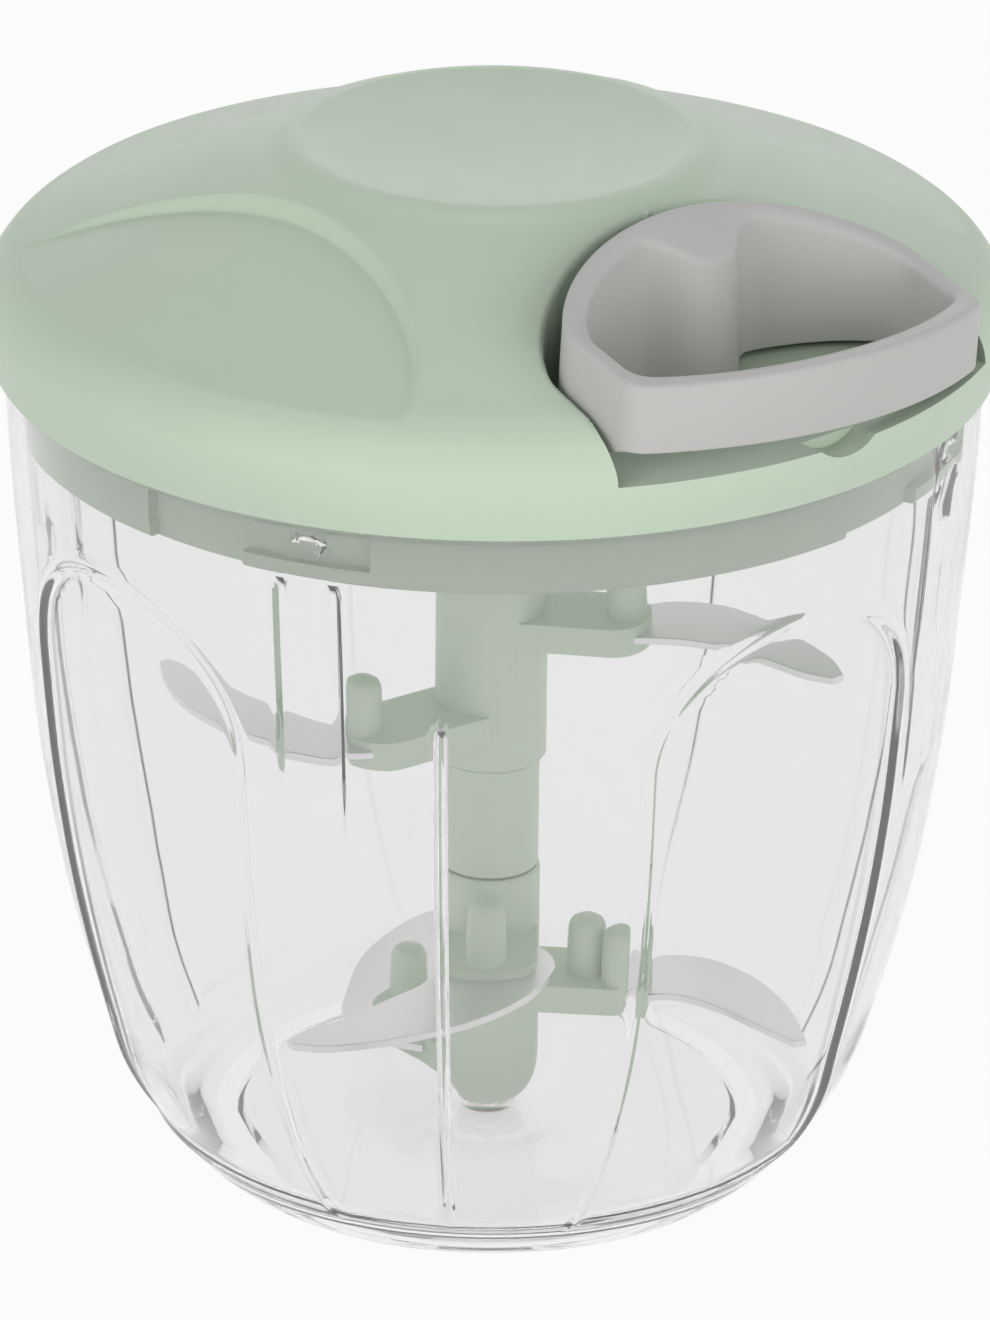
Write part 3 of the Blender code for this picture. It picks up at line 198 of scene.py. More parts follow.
def flowing(points, spacing):
    """Points about one spacing apart on a smooth line through the given ones."""
    pairs = list(zip(points, points[1:]))
    lengths = [(after - before).length for before, after in pairs]
    speeds = [(after - before) / length for (before, after), length in zip(pairs, lengths)]
    tangents = [speeds[0]]
    for index in range(1, len(speeds)):
        near, far = lengths[index - 1], lengths[index]
        tangents.append((speeds[index - 1] * far + speeds[index] * near) / (near + far))
    tangents.append(speeds[-1])
    line = []
    for index, length in enumerate(lengths):
        count = max(1, round(length / spacing))
        for step in range(count):
            share = step / count
            rest = 1.0 - share
            line.append(points[index] * (1 + 2 * share) * rest ** 2
                        + tangents[index] * length * share * rest ** 2
                        + points[index + 1] * share ** 2 * (3 - 2 * share)
                        - tangents[index + 1] * length * share ** 2 * rest)
    line.append(points[-1])
    return line


def spun(line, steps=192, ring=False, start=0.0):
    """Spin points of (radius, height) about Z. A ring's line closes on itself, others on the axis."""
    work = bmesh.new()
    verts = [work.verts.new((radius, 0.0, height)) for radius, height in line]
    pairs = list(zip(verts, verts[1:])) + ([(verts[-1], verts[0])] if ring else [])
    edges = [work.edges.new(pair) for pair in pairs]
    turned = Matrix.Rotation(math.radians(start), 3, "Z")
    bmesh.ops.rotate(work, verts=verts, cent=(0, 0, 0), matrix=turned)
    bmesh.ops.spin(work, geom=verts + edges, cent=(0, 0, 0), axis=(0, 0, 1), dvec=(0, 0, 0),
                   angle=math.tau, steps=steps, use_merge=True, use_duplicate=False)
    bmesh.ops.remove_doubles(work, verts=work.verts, dist=0.000001)
    bmesh.ops.recalc_face_normals(work, faces=work.faces)
    return work


def settle(work, name, finish, body, slot, *nodes, crease=35.0):
    """Make a finished mesh a piece that rides on a body and stands for its CAD nodes."""
    mesh = bpy.data.meshes.new(name)
    work.to_mesh(mesh)
    work.free()
    mesh.materials.append(finish)
    mesh.shade_smooth()
    mesh.set_sharp_from_angle(angle=math.radians(crease))
    piece = bpy.data.objects.new(name, mesh)
    bpy.context.scene.collection.objects.link(piece)
    if body:
        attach(piece, body)
    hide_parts(*nodes)
    return piece


def radius_at(line, height):
    """Radius of an upward line of (radius, height) points at a height."""
    above = bisect.bisect_right(line, height, key=lambda point: point.y)
    index = min(max(above, 1), len(line) - 1)
    before, after = line[index - 1], line[index]
    share = min(1.0, max(0.0, (height - before.y) / max(after.y - before.y, 1e-9)))
    return before.x + (after.x - before.x) * share


def ramp(value, low, high):
    """0 below low, 1 above high, and smooth between them."""
    share = min(1.0, max(0.0, (value - low) / (high - low)))
    return share * share * (3 - 2 * share)


def principled(name, **sockets):
    """A material with its Principled shader's own numbers set, and its board and shader."""
    material = bpy.data.materials.new(name)
    material.use_nodes = True
    shader = material.node_tree.nodes["Principled BSDF"]
    for socket, value in sockets.items():
        shader.inputs[socket.replace("_", " ")].default_value = value
    return material, Board(material.node_tree), shader


def cloud(board, size, detail=2.0, stretch=(1.0, 1.0, 1.0)):
    """Noise with blobs of one size in metres, on the piece's own coordinates."""
    place = board.node("TexCoord", output="Object")
    place = board.node("Mapping", sockets={"Vector": place, "Scale": stretch})
    return board.node("TexNoise", sockets={"Vector": place, "Scale": 1.0 / size, "Detail": detail})


def bumped(board, shader, height, depth, strength):
    bump = board.node("Bump", sockets={"Height": height, "Distance": depth, "Strength": strength})
    board.plug(bump, shader.inputs["Normal"])


def clear_plastic():
    """Clear plastic: light passes and bends, and the skin has the slight waves of a moulding."""
    material, board, shader = principled("clear_bowl_plastic", IOR=1.38, Transmission_Weight=0.94,
                                         Base_Color=(0.942, 0.937, 0.939, 1.0))
    board.plug(cloud(board, size=0.004, detail=3.0) * 0.03 + 0.005, shader.inputs["Roughness"])
    waves = cloud(board, size=0.022, detail=1.0)
    bumped(board, shader, waves, depth=0.00012, strength=0.35)
    return material


bowl_skin = flowing(in_metres([(38.2, 0.35), (41.0, 2.9), (44.9, 7.9), (48.7, 14.8), (51.7, 24.6),
                               (55.4, 39.4), (58.6, 59.1), (60.35, 78.8), (61.8, 98.5),
                               (62.3, 109.5)]), 1.5 * MM)


def bowl_lining():
    """The inner wall's line, one wall in from the skin."""
    line = []
    for before, point, after in zip(bowl_skin, bowl_skin[1:], bowl_skin[2:]):
        along = (after - before).normalized()
        line.append(point + Vector((-along.y, along.x)) * BOWL_WALL)
    return [point for point in line if point.y > 6.4 * MM] + in_metres([(60.3, 109.8)])


def off_feature(bearing, first):
    """Degrees to the nearest of four like features at equal pitch."""
    return (bearing - first + 45.0) % 90.0 - 45.0


def per_degree(height):
    """The skin's length over one degree of bearing, in mm."""
    return math.radians(radius_at(bowl_skin, height * MM) / MM)


def inside_oval(across, along, half_across, half_along):
    """About how far a place lies inside an oval's edge."""
    reach = math.hypot(across / half_across, along / half_along) or 1e-6
    slope = math.hypot(across / half_across ** 2, along / half_along ** 2) / reach
    return (1.0 - reach) / max(slope, 1e-6)


# A panel's half width in degrees, and its heights in mm: its foot, where it stops flaring out
# towards that foot, where its round top begins, and how high that top is.
ARCH_HALF = 19.8
ARCH_FOOT, ARCH_FLARE, ARCH_SPRING, ARCH_RISE = 7.0, 44.0, 76.0, 18.0


def arch_gap(bearing, height):
    """How far a place lies inside the nearest arch's edge, in mm along the wall."""
    offset = abs(off_feature(bearing, BOWL_TURN))
    scale = per_degree(height)
    if height > ARCH_SPRING:
        inside = inside_oval(offset * scale, height - ARCH_SPRING, ARCH_HALF * scale, ARCH_RISE)
    else:
        flare = 4.7 * max(0.0, (ARCH_FLARE - height) / (ARCH_FLARE - ARCH_FOOT)) ** 2
        inside = (ARCH_HALF + flare - offset) * scale
    return min(inside, height - ARCH_FOOT)


# Each relief gives how far a place lies from its feature, and how far out the wall stands there,
# in mm. The features inside the bowl stand in towards the axis, so theirs is below zero.
def arch_relief(bearing, height):
    """A panel sunk a little, with a rounded bead along its edge."""
    gap = arch_gap(bearing, height)
    bead = 0.42 * math.exp(-(gap / 0.8) ** 2)
    sunk = 0.3 * ramp(gap, -0.8, 0.8)
    return abs(gap) - 2.6, bead - sunk if height < 99.0 else 0.0


def rib_relief(bearing, height):
    """A thin rounded rib up the middle of the wall between two panels."""
    across = off_feature(bearing, BOWL_TURN + 45.0) * per_degree(height)
    depth = ramp(height, 8.0, 14.0) * (1.0 - ramp(height, 82.3, 83.7))
    return max(abs(across) - 1.6, height - 86.0), -depth * math.exp(-(across / 0.62) ** 4)


LUG_BEARING = -63.7


def strip_relief(bearing, height):
    """The shallow strip that runs down from each lug and fades out."""
    gap = 4.3 - abs(off_feature(bearing, LUG_BEARING)) * per_degree(height)
    depth = 0.9 * ramp(height, 60.0, 82.0) * (1.0 - ramp(height, 100.8, 102.0))
    return max(abs(gap) - 1.5, 58.0 - height, height - 104.5), -depth * ramp(gap, -0.45, 0.45)


def lug_relief(bearing, height):
    """A bayonet lug: a smooth oval that stands out of the wall."""
    reach = math.hypot(off_feature(bearing, LUG_BEARING) / 4.3, (height - 106.6) / 1.75)
    return (reach - 1.25) * 2.0, -1.6 * ramp(1.0 - reach, 0.0, 0.75)


def emboss(work, line, relief, cuts=2):
    """Refine one of the bowl's walls near a feature, and raise the feature out of it."""
    def on_wall(place):
        return (4.0 * MM < place.z < 109.7 * MM
                and abs(place.xy.length - radius_at(line, place.z)) < 0.3 * MM)

    def relief_at(place):
        return relief(bearing_of(place), place.z / MM)

    near = [edge for edge in work.edges
            if all(on_wall(vert.co) and relief_at(vert.co)[0] < 0 for vert in edge.verts)]
    bmesh.ops.subdivide_edges(work, edges=near, cuts=cuts, use_grid_fill=True)
    for vert in work.verts:
        if on_wall(vert.co):
            away, out = relief_at(vert.co)
            if away < 2.0 or out:
                share = (radius_at(line, vert.co.z) + out * MM) / vert.co.xy.length
                vert.co.x *= share
                vert.co.y *= share


def make_bowl():
    lining = bowl_lining()
    heights = [109.8, 108.7, 106.6, 104.6, 102.0] + [99.0 - 3.1 * step for step in range(6)]
    heights += [83.5] + [80.0 - 3.5 * step for step in range(21)]
    foot = radius_at(lining, heights[-1] * MM) / MM
    line = in_metres([(0.0, 1.0), (32.4, 1.0), (33.4, 0.0), (36.4, 0.0)]) + bowl_skin
    line += in_metres([(62.75, 109.9), (62.95, 110.15), (62.9, 110.4), (62.6, 110.6), (61.0, 110.6),
                       (60.5, 110.35)])
    line += [Vector((radius_at(lining, height * MM), height * MM)) for height in heights]
    line += in_metres([(foot - 1.3, 7.6), (foot - 3.2, 5.6), (foot - 6.0, 4.6), (foot - 10.0, 4.2),
                       (20.0, 4.2), (5.4, 4.2), (4.3, 4.6), (3.7, 5.6), (3.6, 7.7), (3.3, 8.0),
                       (1.55, 8.0), (1.55, 6.0), (0.0, 6.0)])
    work = spun(line, steps=400, start=BOWL_TURN)
    emboss(work, bowl_skin, arch_relief)
    emboss(work, lining, rib_relief)
    emboss(work, lining, strip_relief)
    emboss(work, lining, lug_relief, cuts=4)
    return settle(work, "clear_bowl", clear_plastic(), "bowl", "clear_plastic", "bowl")


make_bowl()


# Pivot pin
# A stainless pin pressed into the boss in the bowl's floor. The rotor's foot turns on it.
def steel(name, shade, roughness, brush=(1.0, 1.0, 1.0)):
    """Stainless steel with fine brushing that runs along the longest side of its grain."""
    material, board, shader = principled(name, Base_Color=(shade, shade, shade, 1.0), Metallic=1.0)
    grain = cloud(board, size=0.0006, detail=3.0, stretch=brush)
    board.plug(grain * 0.12 + (roughness - 0.06), shader.inputs["Roughness"])
    bumped(board, shader, grain, depth=0.00003, strength=0.25)
    return material


pin_steel = steel("pin_steel", shade=0.62, roughness=0.22, brush=(1.0, 1.0, 0.1))
pin = spun(in_metres([(0.0, 6.2), (1.25, 6.2), (1.25, 19.6), (1.05, 20.1), (0.65, 20.4),
                      (0.0, 20.4)]), steps=32)
settle(pin, "steel_pivot_pin", pin_steel, "bowl", "steel", "pivot_pin")


# Lid cover
# The domed cover is one moulding: a dished disc on top, three shallow recesses, and at the front the
# pocket that the handle lies in, open through the rim, with a small notch in its ledge.
def two_tone(board, shader, share, deep, pale):
    """Colour a surface between two tones. Mix has its colours at sockets 6 and 7, and output 2."""
    colours = {0: share, 6: (*deep, 1.0), 7: (*pale, 1.0)}
    tone = board.node("Mix", {"data_type": "RGBA"}, colours, 2)
    board.plug(tone, shader.inputs["Base Color"])


def moulded(name, colour, roughness):
    """Satin moulded plastic: a fine even grain, with colour that drifts a little over the part."""
    drift = 0.03
    material, board, shader = principled(name, IOR=1.5)
    deep, pale = ([channel * (1 + way * drift) for channel in colour] for way in (-1, 1))
    two_tone(board, shader, cloud(board, size=0.03), deep, pale)
    board.plug(cloud(board, size=0.006) * 0.1 + (roughness - 0.05), shader.inputs["Roughness"])
    bumped(board, shader, cloud(board, size=0.0005), depth=0.00003, strength=0.25)
    return material


def prism(points, bottom, top):
    """A straight block over a flat outline."""
    work = bmesh.new()
    face = work.faces.new([work.verts.new((point[0], point[1], bottom)) for point in points])
    raised = bmesh.ops.extrude_face_region(work, geom=[face])["geom"]
    lifted = [item for item in raised if isinstance(item, bmesh.types.BMVert)]
    bmesh.ops.translate(work, verts=lifted, vec=(0, 0, top - bottom))
    bmesh.ops.recalc_face_normals(work, faces=work.faces)
    return work


def rod(radius, bottom, top, centre=(0.0, 0.0), steps=32):
    """An upright rod, with six steps a hexagon bar."""
    work = bmesh.new()
    bmesh.ops.create_cone(work, cap_ends=True, segments=steps, radius1=radius, radius2=radius,
                          depth=top - bottom)
    bmesh.ops.translate(work, verts=work.verts, vec=(*centre, (top + bottom) / 2))
    return work


def laid(work, height):
    """Lay a piece that was made along Z down, so that it points the handle's way."""
    tipped = Matrix.Rotation(math.radians(90), 3, "X")
    bmesh.ops.rotate(work, verts=work.verts, cent=(0, 0, 0), matrix=tipped)
    bmesh.ops.translate(work, verts=work.verts, vec=(0, 0, height))
    return work


def carved(work, tools, operation="DIFFERENCE"):
    """Cut tools out of a solid, or join them to it, and hand back the new solid."""
    guides = []
    for solid in [work] + tools:
        mesh = bpy.data.meshes.new("blank")
        solid.to_mesh(mesh)
        solid.free()
        guides.append(bpy.data.objects.new("blank", mesh))
        bpy.context.scene.collection.objects.link(guides[-1])
    for tool in guides[1:]:
        cut = guides[0].modifiers.new("cut", "BOOLEAN")
        cut.operation = operation
        cut.solver = "EXACT"
        cut.object = tool
    graph = bpy.context.evaluated_depsgraph_get()
    graph.update()
    mesh = bpy.data.meshes.new_from_object(guides[0].evaluated_get(graph))
    made = bmesh.new()
    made.from_mesh(mesh)
    for guide in guides:
        bpy.data.objects.remove(guide)
    bmesh.ops.remove_doubles(made, verts=made.verts, dist=0.000001)
    return made


BACK_POWER = 1.15
POCKET_FLOOR, POCKET_TOP = 117.7 * MM, 151.0 * MM
POCKET_INNER, POCKET_CURVE = 29.2 * MM, 16.5 * MM
POCKET_HALF, POCKET_MOUTH = 30.2 * MM, 31.2 * MM


def shield_back(inner, half_width, curve, steps):
    """Half of a shield's rounded back, from its middle to its widest place."""
    turns = [math.pi / 2 * step / steps for step in range(steps + 1)]
    return [Vector((half_width * math.sin(turn),
                    -inner - curve * (1 - max(0, math.cos(turn)) ** BACK_POWER)))
            for turn in turns]


def both_sides(side):
    """Close the half of an outline that lies on +X with its mirror image."""
    return side + [Vector((-point.x, point.y)) for point in reversed(side) if point.x]


def pocket_outline(grow=0.0):
    """The pocket's outline: it widens a little near the rim, and its mouth lies outside the rim."""
    half_width, mouth = POCKET_HALF + grow, POCKET_MOUTH + grow
    side = shield_back(POCKET_INNER - grow, half_width, POCKET_CURVE, steps=40)
    side += [Vector((half_width, -50.85 * MM)),
             Vector((half_width + (mouth - half_width) * 0.6, -53.85 * MM)),
             Vector((mouth, -74.0 * MM))]
    return both_sides(side)


def in_pocket(place):
    """Whether a place lies over the handle's pocket."""
    turn = math.asin(min(1.0, abs(place.x) / POCKET_HALF))
    return -place.y > POCKET_INNER + POCKET_CURVE * (1 - math.cos(turn) ** BACK_POWER)


def near_pocket(place):
    """Whether a place on the dome lies over the pocket or close beside it."""
    return place.y < -24.0 * MM and abs(place.x) < 34.0 * MM and place.z > 119.0 * MM


def gap_to(outline, place):
    """Distance from a place to the nearest side of an outline, in metres."""
    nearest = 1.0
    for first, second in zip(outline, outline[1:]):
        along = second - first
        share = min(1.0, max(0.0, (place - first).dot(along) / along.length_squared))
        nearest = min(nearest, (first + along * share - place).length)
    return nearest


# A recess in mm: from its rounded inner edge to the dome's rim, its half width, how far its inner
# edge curves, its depth at that edge, and half the width of its sloped sides.
RECESS_INNER, RECESS_OUTER = 31.2, 60.4
RECESS_HALF, RECESS_CURVE = 37.4, 21.0
RECESS_DEPTH, RECESS_SLOPE = 2.1, 0.6


def recess_share(place):
    """How deep a place lies in a recess that is turned the handle's way, from 0 to 1."""
    out, across = -place.y / MM, place.x / MM
    past_curve = out - RECESS_INNER - RECESS_CURVE
    if out < RECESS_INNER - 6.0:
        return 0.0
    if past_curve > 0:
        inside = RECESS_HALF - abs(across)
    else:
        inside = inside_oval(across, past_curve, RECESS_HALF, RECESS_CURVE)
    return ramp(inside, -RECESS_SLOPE, RECESS_SLOPE)


dome_line = flowing(in_metres([(0.0, 137.3), (8.0, 137.5), (15.0, 137.9), (20.0, 138.4),
                               (23.8, 138.95), (24.8, 139.1), (25.7, 138.9), (28.6, 137.6),
                               (32.0, 136.35), (40.0, 133.1), (48.0, 129.85), (55.0, 126.9),
                               (60.4, 124.4), (62.6, 122.7), (63.9, 121.0), (64.8, 119.2),
                               (65.05, 117.6), (64.9, 115.0), (64.0, 110.9)]), 0.62 * MM)


def dome_height(radius):
    for before, after in zip(dome_line, dome_line[1:]):
        if before.x <= radius <= after.x:
            share = (radius - before.x) / max(after.x - before.x, 1e-9)
            return before.y + (after.y - before.y) * share
    return dome_line[-1].y


def shape_cover(work):
    """Sink the recesses into the dome and round the pocket's lip."""
    lip = 0.8 * MM
    edge = pocket_outline()
    inner_floor = dome_height(RECESS_INNER * MM) - RECESS_DEPTH * MM
    outer_floor = dome_height(RECESS_OUTER * MM)
    turns = [Matrix.Rotation(math.radians(turn), 2) for turn in (90, -90, 180)]

    def sunk(place):
        return max(recess_share(turn @ place) for turn in turns)

    def at_lip(place):
        return near_pocket(place) and gap_to(edge, place.xy) < 2.2 * MM

    near = [side for side in work.edges if all(at_lip(vert.co) for vert in side.verts)]
    near += [side for side in work.edges
             if all(30.0 * MM < vert.co.xy.length < RECESS_OUTER * MM for vert in side.verts)
             and any(0 < sunk(vert.co.xy) < 1 for vert in side.verts)]
    bmesh.ops.subdivide_edges(work, edges=list(set(near)), cuts=2, use_grid_fill=True)
    for vert in work.verts:
        radius = vert.co.xy.length
        if vert.co.z < 112.0 * MM or radius < 22.0 * MM:
            continue
        if radius < RECESS_OUTER * MM:
            out = (radius / MM - RECESS_INNER) / (RECESS_OUTER - RECESS_INNER)
            floor = inner_floor + (outer_floor - inner_floor) * out
            share = sunk(vert.co.xy)
            if share > 0 and floor < vert.co.z:
                vert.co.z += (floor - vert.co.z) * share
        if near_pocket(vert.co):
            gap = gap_to(edge, vert.co.xy)
            inside = (abs(vert.co.x) < 30.0 * MM and vert.co.y < -POCKET_INNER and gap > 0
                      and in_pocket(vert.co.xy))
            short = lip if inside else max(0.0, lip - gap)
            drop = lip - math.sqrt(max(0.0, lip ** 2 - short ** 2))
            vert.co.z -= drop * (1.0 - ramp(radius / MM, 58.0, 62.5))


SCREW_PLACES = [polar(48.0 * MM, 45.0 + 90.0 * quarter) for quarter in range(4)]
CORD_HEIGHT = 124.0 * MM


def make_cover():
    work = spun(dome_line + in_metres([(0.0, 110.9)]), steps=480)
    shape_cover(work)
    hollow = spun(in_metres([(0.0, 135.2), (8.0, 135.4), (16.0, 136.0), (22.5, 136.6), (24.8, 136.5),
                             (27.0, 135.4), (30.0, 133.1), (40.0, 129.2), (50.0, 125.4),
                             (57.0, 122.0), (60.0, 119.4), (61.9, 117.0), (61.9, 110.6),
                             (0.0, 110.6)]), steps=96)
    kept = [prism(pocket_outline(2.0 * MM), POCKET_FLOOR - 2.0 * MM, POCKET_TOP),
            rod(3.4 * MM, 125.6 * MM, 139.0 * MM)]
    kept += [rod(3.2 * MM, 115.2 * MM, 139.0 * MM, place) for place in SCREW_PLACES]
    hollow = carved(hollow, kept)
    pocket = prism(pocket_outline(), POCKET_FLOOR, POCKET_TOP)
    holes = [rod(1.6 * MM, 114.9 * MM, 122.7 * MM, place, steps=16) for place in SCREW_PLACES]
    cord_hole = laid(rod(3.3 * MM, 23.0 * MM, 31.2 * MM), CORD_HEIGHT)
    notch = laid(rod(7.13 * MM, 61.2 * MM, 70.0 * MM, steps=64), 123.23 * MM)
    work = carved(work, [hollow, pocket, *holes, cord_hole, notch])
    green = moulded("sage_lid_plastic", (0.435, 0.530, 0.415), 0.42)
    return settle(work, "sage_lid_cover", green, "lid", "lid_plastic", "lid_cover", crease=32.0)


make_cover()


# Lid base
# A round plate with a skirt that slips inside the bowl's rim. Four bayonet grooves in the skirt take
# the bowl's lugs, four screws hold the plate to the cover, and a hole at its middle takes the bush.
def sector(section, left, right):
    """A closed section of (radius, height) points spun over an arc of bearings."""
    work = bmesh.new()
    face = work.faces.new([work.verts.new((*polar(radius, left), height))
                           for radius, height in section])
    bmesh.ops.spin(work, geom=[face] + list(face.edges) + list(face.verts), cent=(0, 0, 0),
                   axis=(0, 0, 1), dvec=(0, 0, 0), angle=math.radians(right - left), steps=16,
                   use_duplicate=False)
    bmesh.ops.recalc_face_normals(work, faces=work.faces)
    return work


def make_base():
    line = in_metres([(7.0, 105.5), (7.0, 114.9), (61.6, 114.9), (61.6, 112.9), (59.7, 112.9),
                      (59.7, 102.6), (59.3, 102.2), (57.5, 102.2), (57.1, 102.6), (57.1, 112.9),
                      (9.2, 112.9), (9.2, 105.5)])
    groove = in_metres([(58.3, 104.2), (58.3, 109.0), (61.0, 109.0), (61.0, 104.2)])
    entry = in_metres([(58.3, 101.0), (58.3, 108.7), (61.3, 108.7), (61.3, 101.0)])
    tools = []
    for quarter in range(4):
        lug = -64.0 + 90.0 * quarter
        tools.append(sector(groove, lug - 22.0, lug + 8.05))
        tools.append(sector(entry, lug - 21.8, lug - 8.0))
        tools.append(rod(1.6 * MM, 112.0 * MM, 116.0 * MM, SCREW_PLACES[quarter], steps=16))
    work = carved(spun(line, ring=True), tools)
    # The base's green is the cover's sage painted lighter. This is painted light, standing in for the
    # lamp light that the clear bowl keeps from it.
    sage_painted_lighter = moulded("sage_base_plastic_painted_lighter", (0.620, 0.730, 0.595), 0.42)
    return settle(work, "sage_lid_base", sage_painted_lighter, "lid", "lid_plastic", "lid_base")


make_base()


# Seal ring and cover screws
# A soft silicone ring lies in the corner between the plate and the cover's rim, over the bowl's edge.
# The four screws are short steel self-tappers with a cross recess.
def silicone():
    material, board, shader = principled("seal_silicone", Base_Color=(0.62, 0.66, 0.61, 1.0),
                                         IOR=1.41)
    board.plug(cloud(board, size=0.002) * 0.15 + 0.55, shader.inputs["Roughness"])
    return material


ring = spun(in_metres([(60.2, 111.3), (60.2, 112.6), (61.6, 112.6), (61.6, 111.3), (61.2, 110.9),
                       (60.6, 110.9)]), ring=True)
settle(ring, "silicone_seal", silicone(), "seal", "seal_rubber", "seal_ring")


def dress(node, finish):
    """Give a CAD node that keeps its shape its finish."""
    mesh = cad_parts[node].data
    mesh.materials.clear()
    mesh.materials.append(finish)


screw_steel = steel("screw_steel", shade=0.55, roughness=0.3)
for number in range(1, 5):
    dress(f"cover_screw_{number}", screw_steel)
dress("spindle_screw", screw_steel)


# Pull handle
# A stiff grey ring that lies in the lid's pocket, leaning a little to its right. Its top falls towards
# the front, its walls taper inside, and a boss in the middle of its back wall holds the cord's knot.
HANDLE_BOTTOM, HANDLE_MIDDLE, HANDLE_FRONT = 119.9, 124.55, 65.1
HANDLE_LEAN = math.radians(3.7)
FOOT_EDGE = [(0.5, 0.0), (0.14, 0.14), (0.0, 0.5)]
TOP_ROUND = 1.0
TOP_EDGE = [(TOP_ROUND * (1 - math.cos(turn)), TOP_ROUND * math.sin(turn))
            for turn in map(math.radians, (0, 22, 45, 67, 90))]


def at_foot(point, up):
    """A place just above the handle's lower edge, which hangs a little lower behind its front."""
    sag = (1.0 - ramp(-point.y, 50.0, 57.0)) * (1.5 - math.sin(HANDLE_LEAN) * point.x)
    return Vector((point.x, point.y, HANDLE_BOTTOM + up - sag)) * MM


def at_top(point, up):
    """A place on the handle's rounded upper edge."""
    inward = 65.0 + point.y
    crest = 129.2 - 0.16 * inward + 0.015 * inward ** 2
    return Vector((point.x, point.y, crest - TOP_ROUND + up)) * MM


def ring_side(inner, half_width, curve, corner, front):
    """Half of a ring's outline in mm, from the middle of its back to the middle of its front."""
    side = shield_back(inner, half_width, curve, steps=26)
    centre_x = half_width - corner
    centre_y = math.sqrt((front - corner) ** 2 - centre_x ** 2)
    lean = math.atan2(centre_x, centre_y)
    for step in range(9):
        turn = lean + (math.pi / 2 - lean) * (1 - step / 8)
        side.append(Vector((centre_x + corner * math.sin(turn), -centre_y - corner * math.cos(turn))))
    return side + [polar(front, math.degrees(lean) * (1 - step / 14)) for step in range(1, 15)]


def bulged(outline, depth, half_width):
    """Push the middle of a back wall out into a rounded boss."""
    moved = []
    for point in outline:
        share = abs(point.x) / half_width
        if share < 1 and point.y > -50.0:
            point = point - Vector((0.0, depth * ramp(1.0 - share, 0.0, 0.85)))
        moved.append(point)
    return moved


def edge_loops(outline, other, edge, level):
    """Loops round an edge: each steps in from an outline towards the other, at its own height."""
    return [[level(here + (there - here).normalized() * inset, up)
             for here, there in zip(outline, other)] for inset, up in edge]


def next_loop(work, loop, places):
    """Extrude a closed loop of vertices to new places."""
    edges = [work.edges.get(pair) for pair in zip(loop, loop[1:] + loop[:1])]
    fresh = {item for item in bmesh.ops.extrude_edge_only(work, edges=edges)["geom"]
             if isinstance(item, bmesh.types.BMVert)}
    following = [next(edge.other_vert(vert) for edge in vert.link_edges
                      if edge.other_vert(vert) in fresh) for vert in loop]
    for vert, place in zip(following, places):
        vert.co = place
    return following


def handle_ring():
    """The handle's skin, from its lower edge up the outside, over the top and down the inside."""
    outer = both_sides(ring_side(33.0, 29.5, curve=13.8, corner=3.8, front=HANDLE_FRONT))
    upper = both_sides(ring_side(35.1, 26.7, curve=13.1, corner=3.5, front=61.7))
    lower = both_sides(ring_side(35.7, 26.0, curve=13.1, corner=3.2, front=61.1))
    upper = bulged(upper, depth=5.4, half_width=9.5)
    lower = bulged(lower, depth=6.8, half_width=10.0)
    loops = edge_loops(outer, upper, FOOT_EDGE, at_foot)
    loops += edge_loops(outer, upper, TOP_EDGE, at_top)
    loops += edge_loops(upper, outer, TOP_EDGE[::-1], at_top)
    for share in (0.25, 0.5, 0.75):
        wall = [high.lerp(low, share) for high, low in zip(upper, lower)]
        loops.append([at_top(point, 0.0).lerp(at_foot(point, 0.5), share) for point in wall])
    loops += edge_loops(lower, outer, FOOT_EDGE[::-1], at_foot)

    work = bmesh.new()
    first = [work.verts.new(place) for place in loops[0]]
    for pair in zip(first, first[1:] + first[:1]):
        work.edges.new(pair)
    last = first
    for places in loops[1:]:
        last = next_loop(work, last, places)
    ends = [work.edges.get(pair) for loop in (first, last) for pair in zip(loop, loop[1:] + loop[:1])]
    bmesh.ops.bridge_loops(work, edges=ends)
    bmesh.ops.recalc_face_normals(work, faces=work.faces)
    return work


def make_handle():
    work = handle_ring()
    lean = (Matrix.Translation((0, 0, HANDLE_MIDDLE * MM)) @ Matrix.Rotation(HANDLE_LEAN, 4, "Y")
            @ Matrix.Translation((0, 0, -HANDLE_MIDDLE * MM)))
    bmesh.ops.transform(work, matrix=lean, verts=work.verts)
    half_slot, slot_near, slot_far = 2.75 * MM, 35.6 * MM, 40.2 * MM
    slot_floor = [(-half_slot, -slot_near), (half_slot, -slot_near),
                  (half_slot, -slot_far), (-half_slot, -slot_far)]
    knot_slot = prism(slot_floor, 115.0 * MM, CORD_HEIGHT)
    knot_top = laid(rod(half_slot, slot_near, slot_far), CORD_HEIGHT)
    bore = laid(rod(1.5 * MM, 31.0 * MM, 38.0 * MM, steps=24), CORD_HEIGHT)
    work = carved(work, [knot_slot, knot_top, bore])
    grey = moulded("grey_handle_plastic", (0.420, 0.420, 0.408), 0.46)
    return settle(work, "grey_pull_handle", grey, "handle", "handle_plastic", "pull_handle")


make_handle()


# Cord, knot and eyelet
# The cord is a thin braid. It leaves the reel at a tangent, bends at a steel eyelet in the pocket's back
# wall and runs into the handle, where a knot holds it. The stretch between lid and handle draws out.
CORD_RADIUS = 1.1 * MM
CORD_SIDES = 16


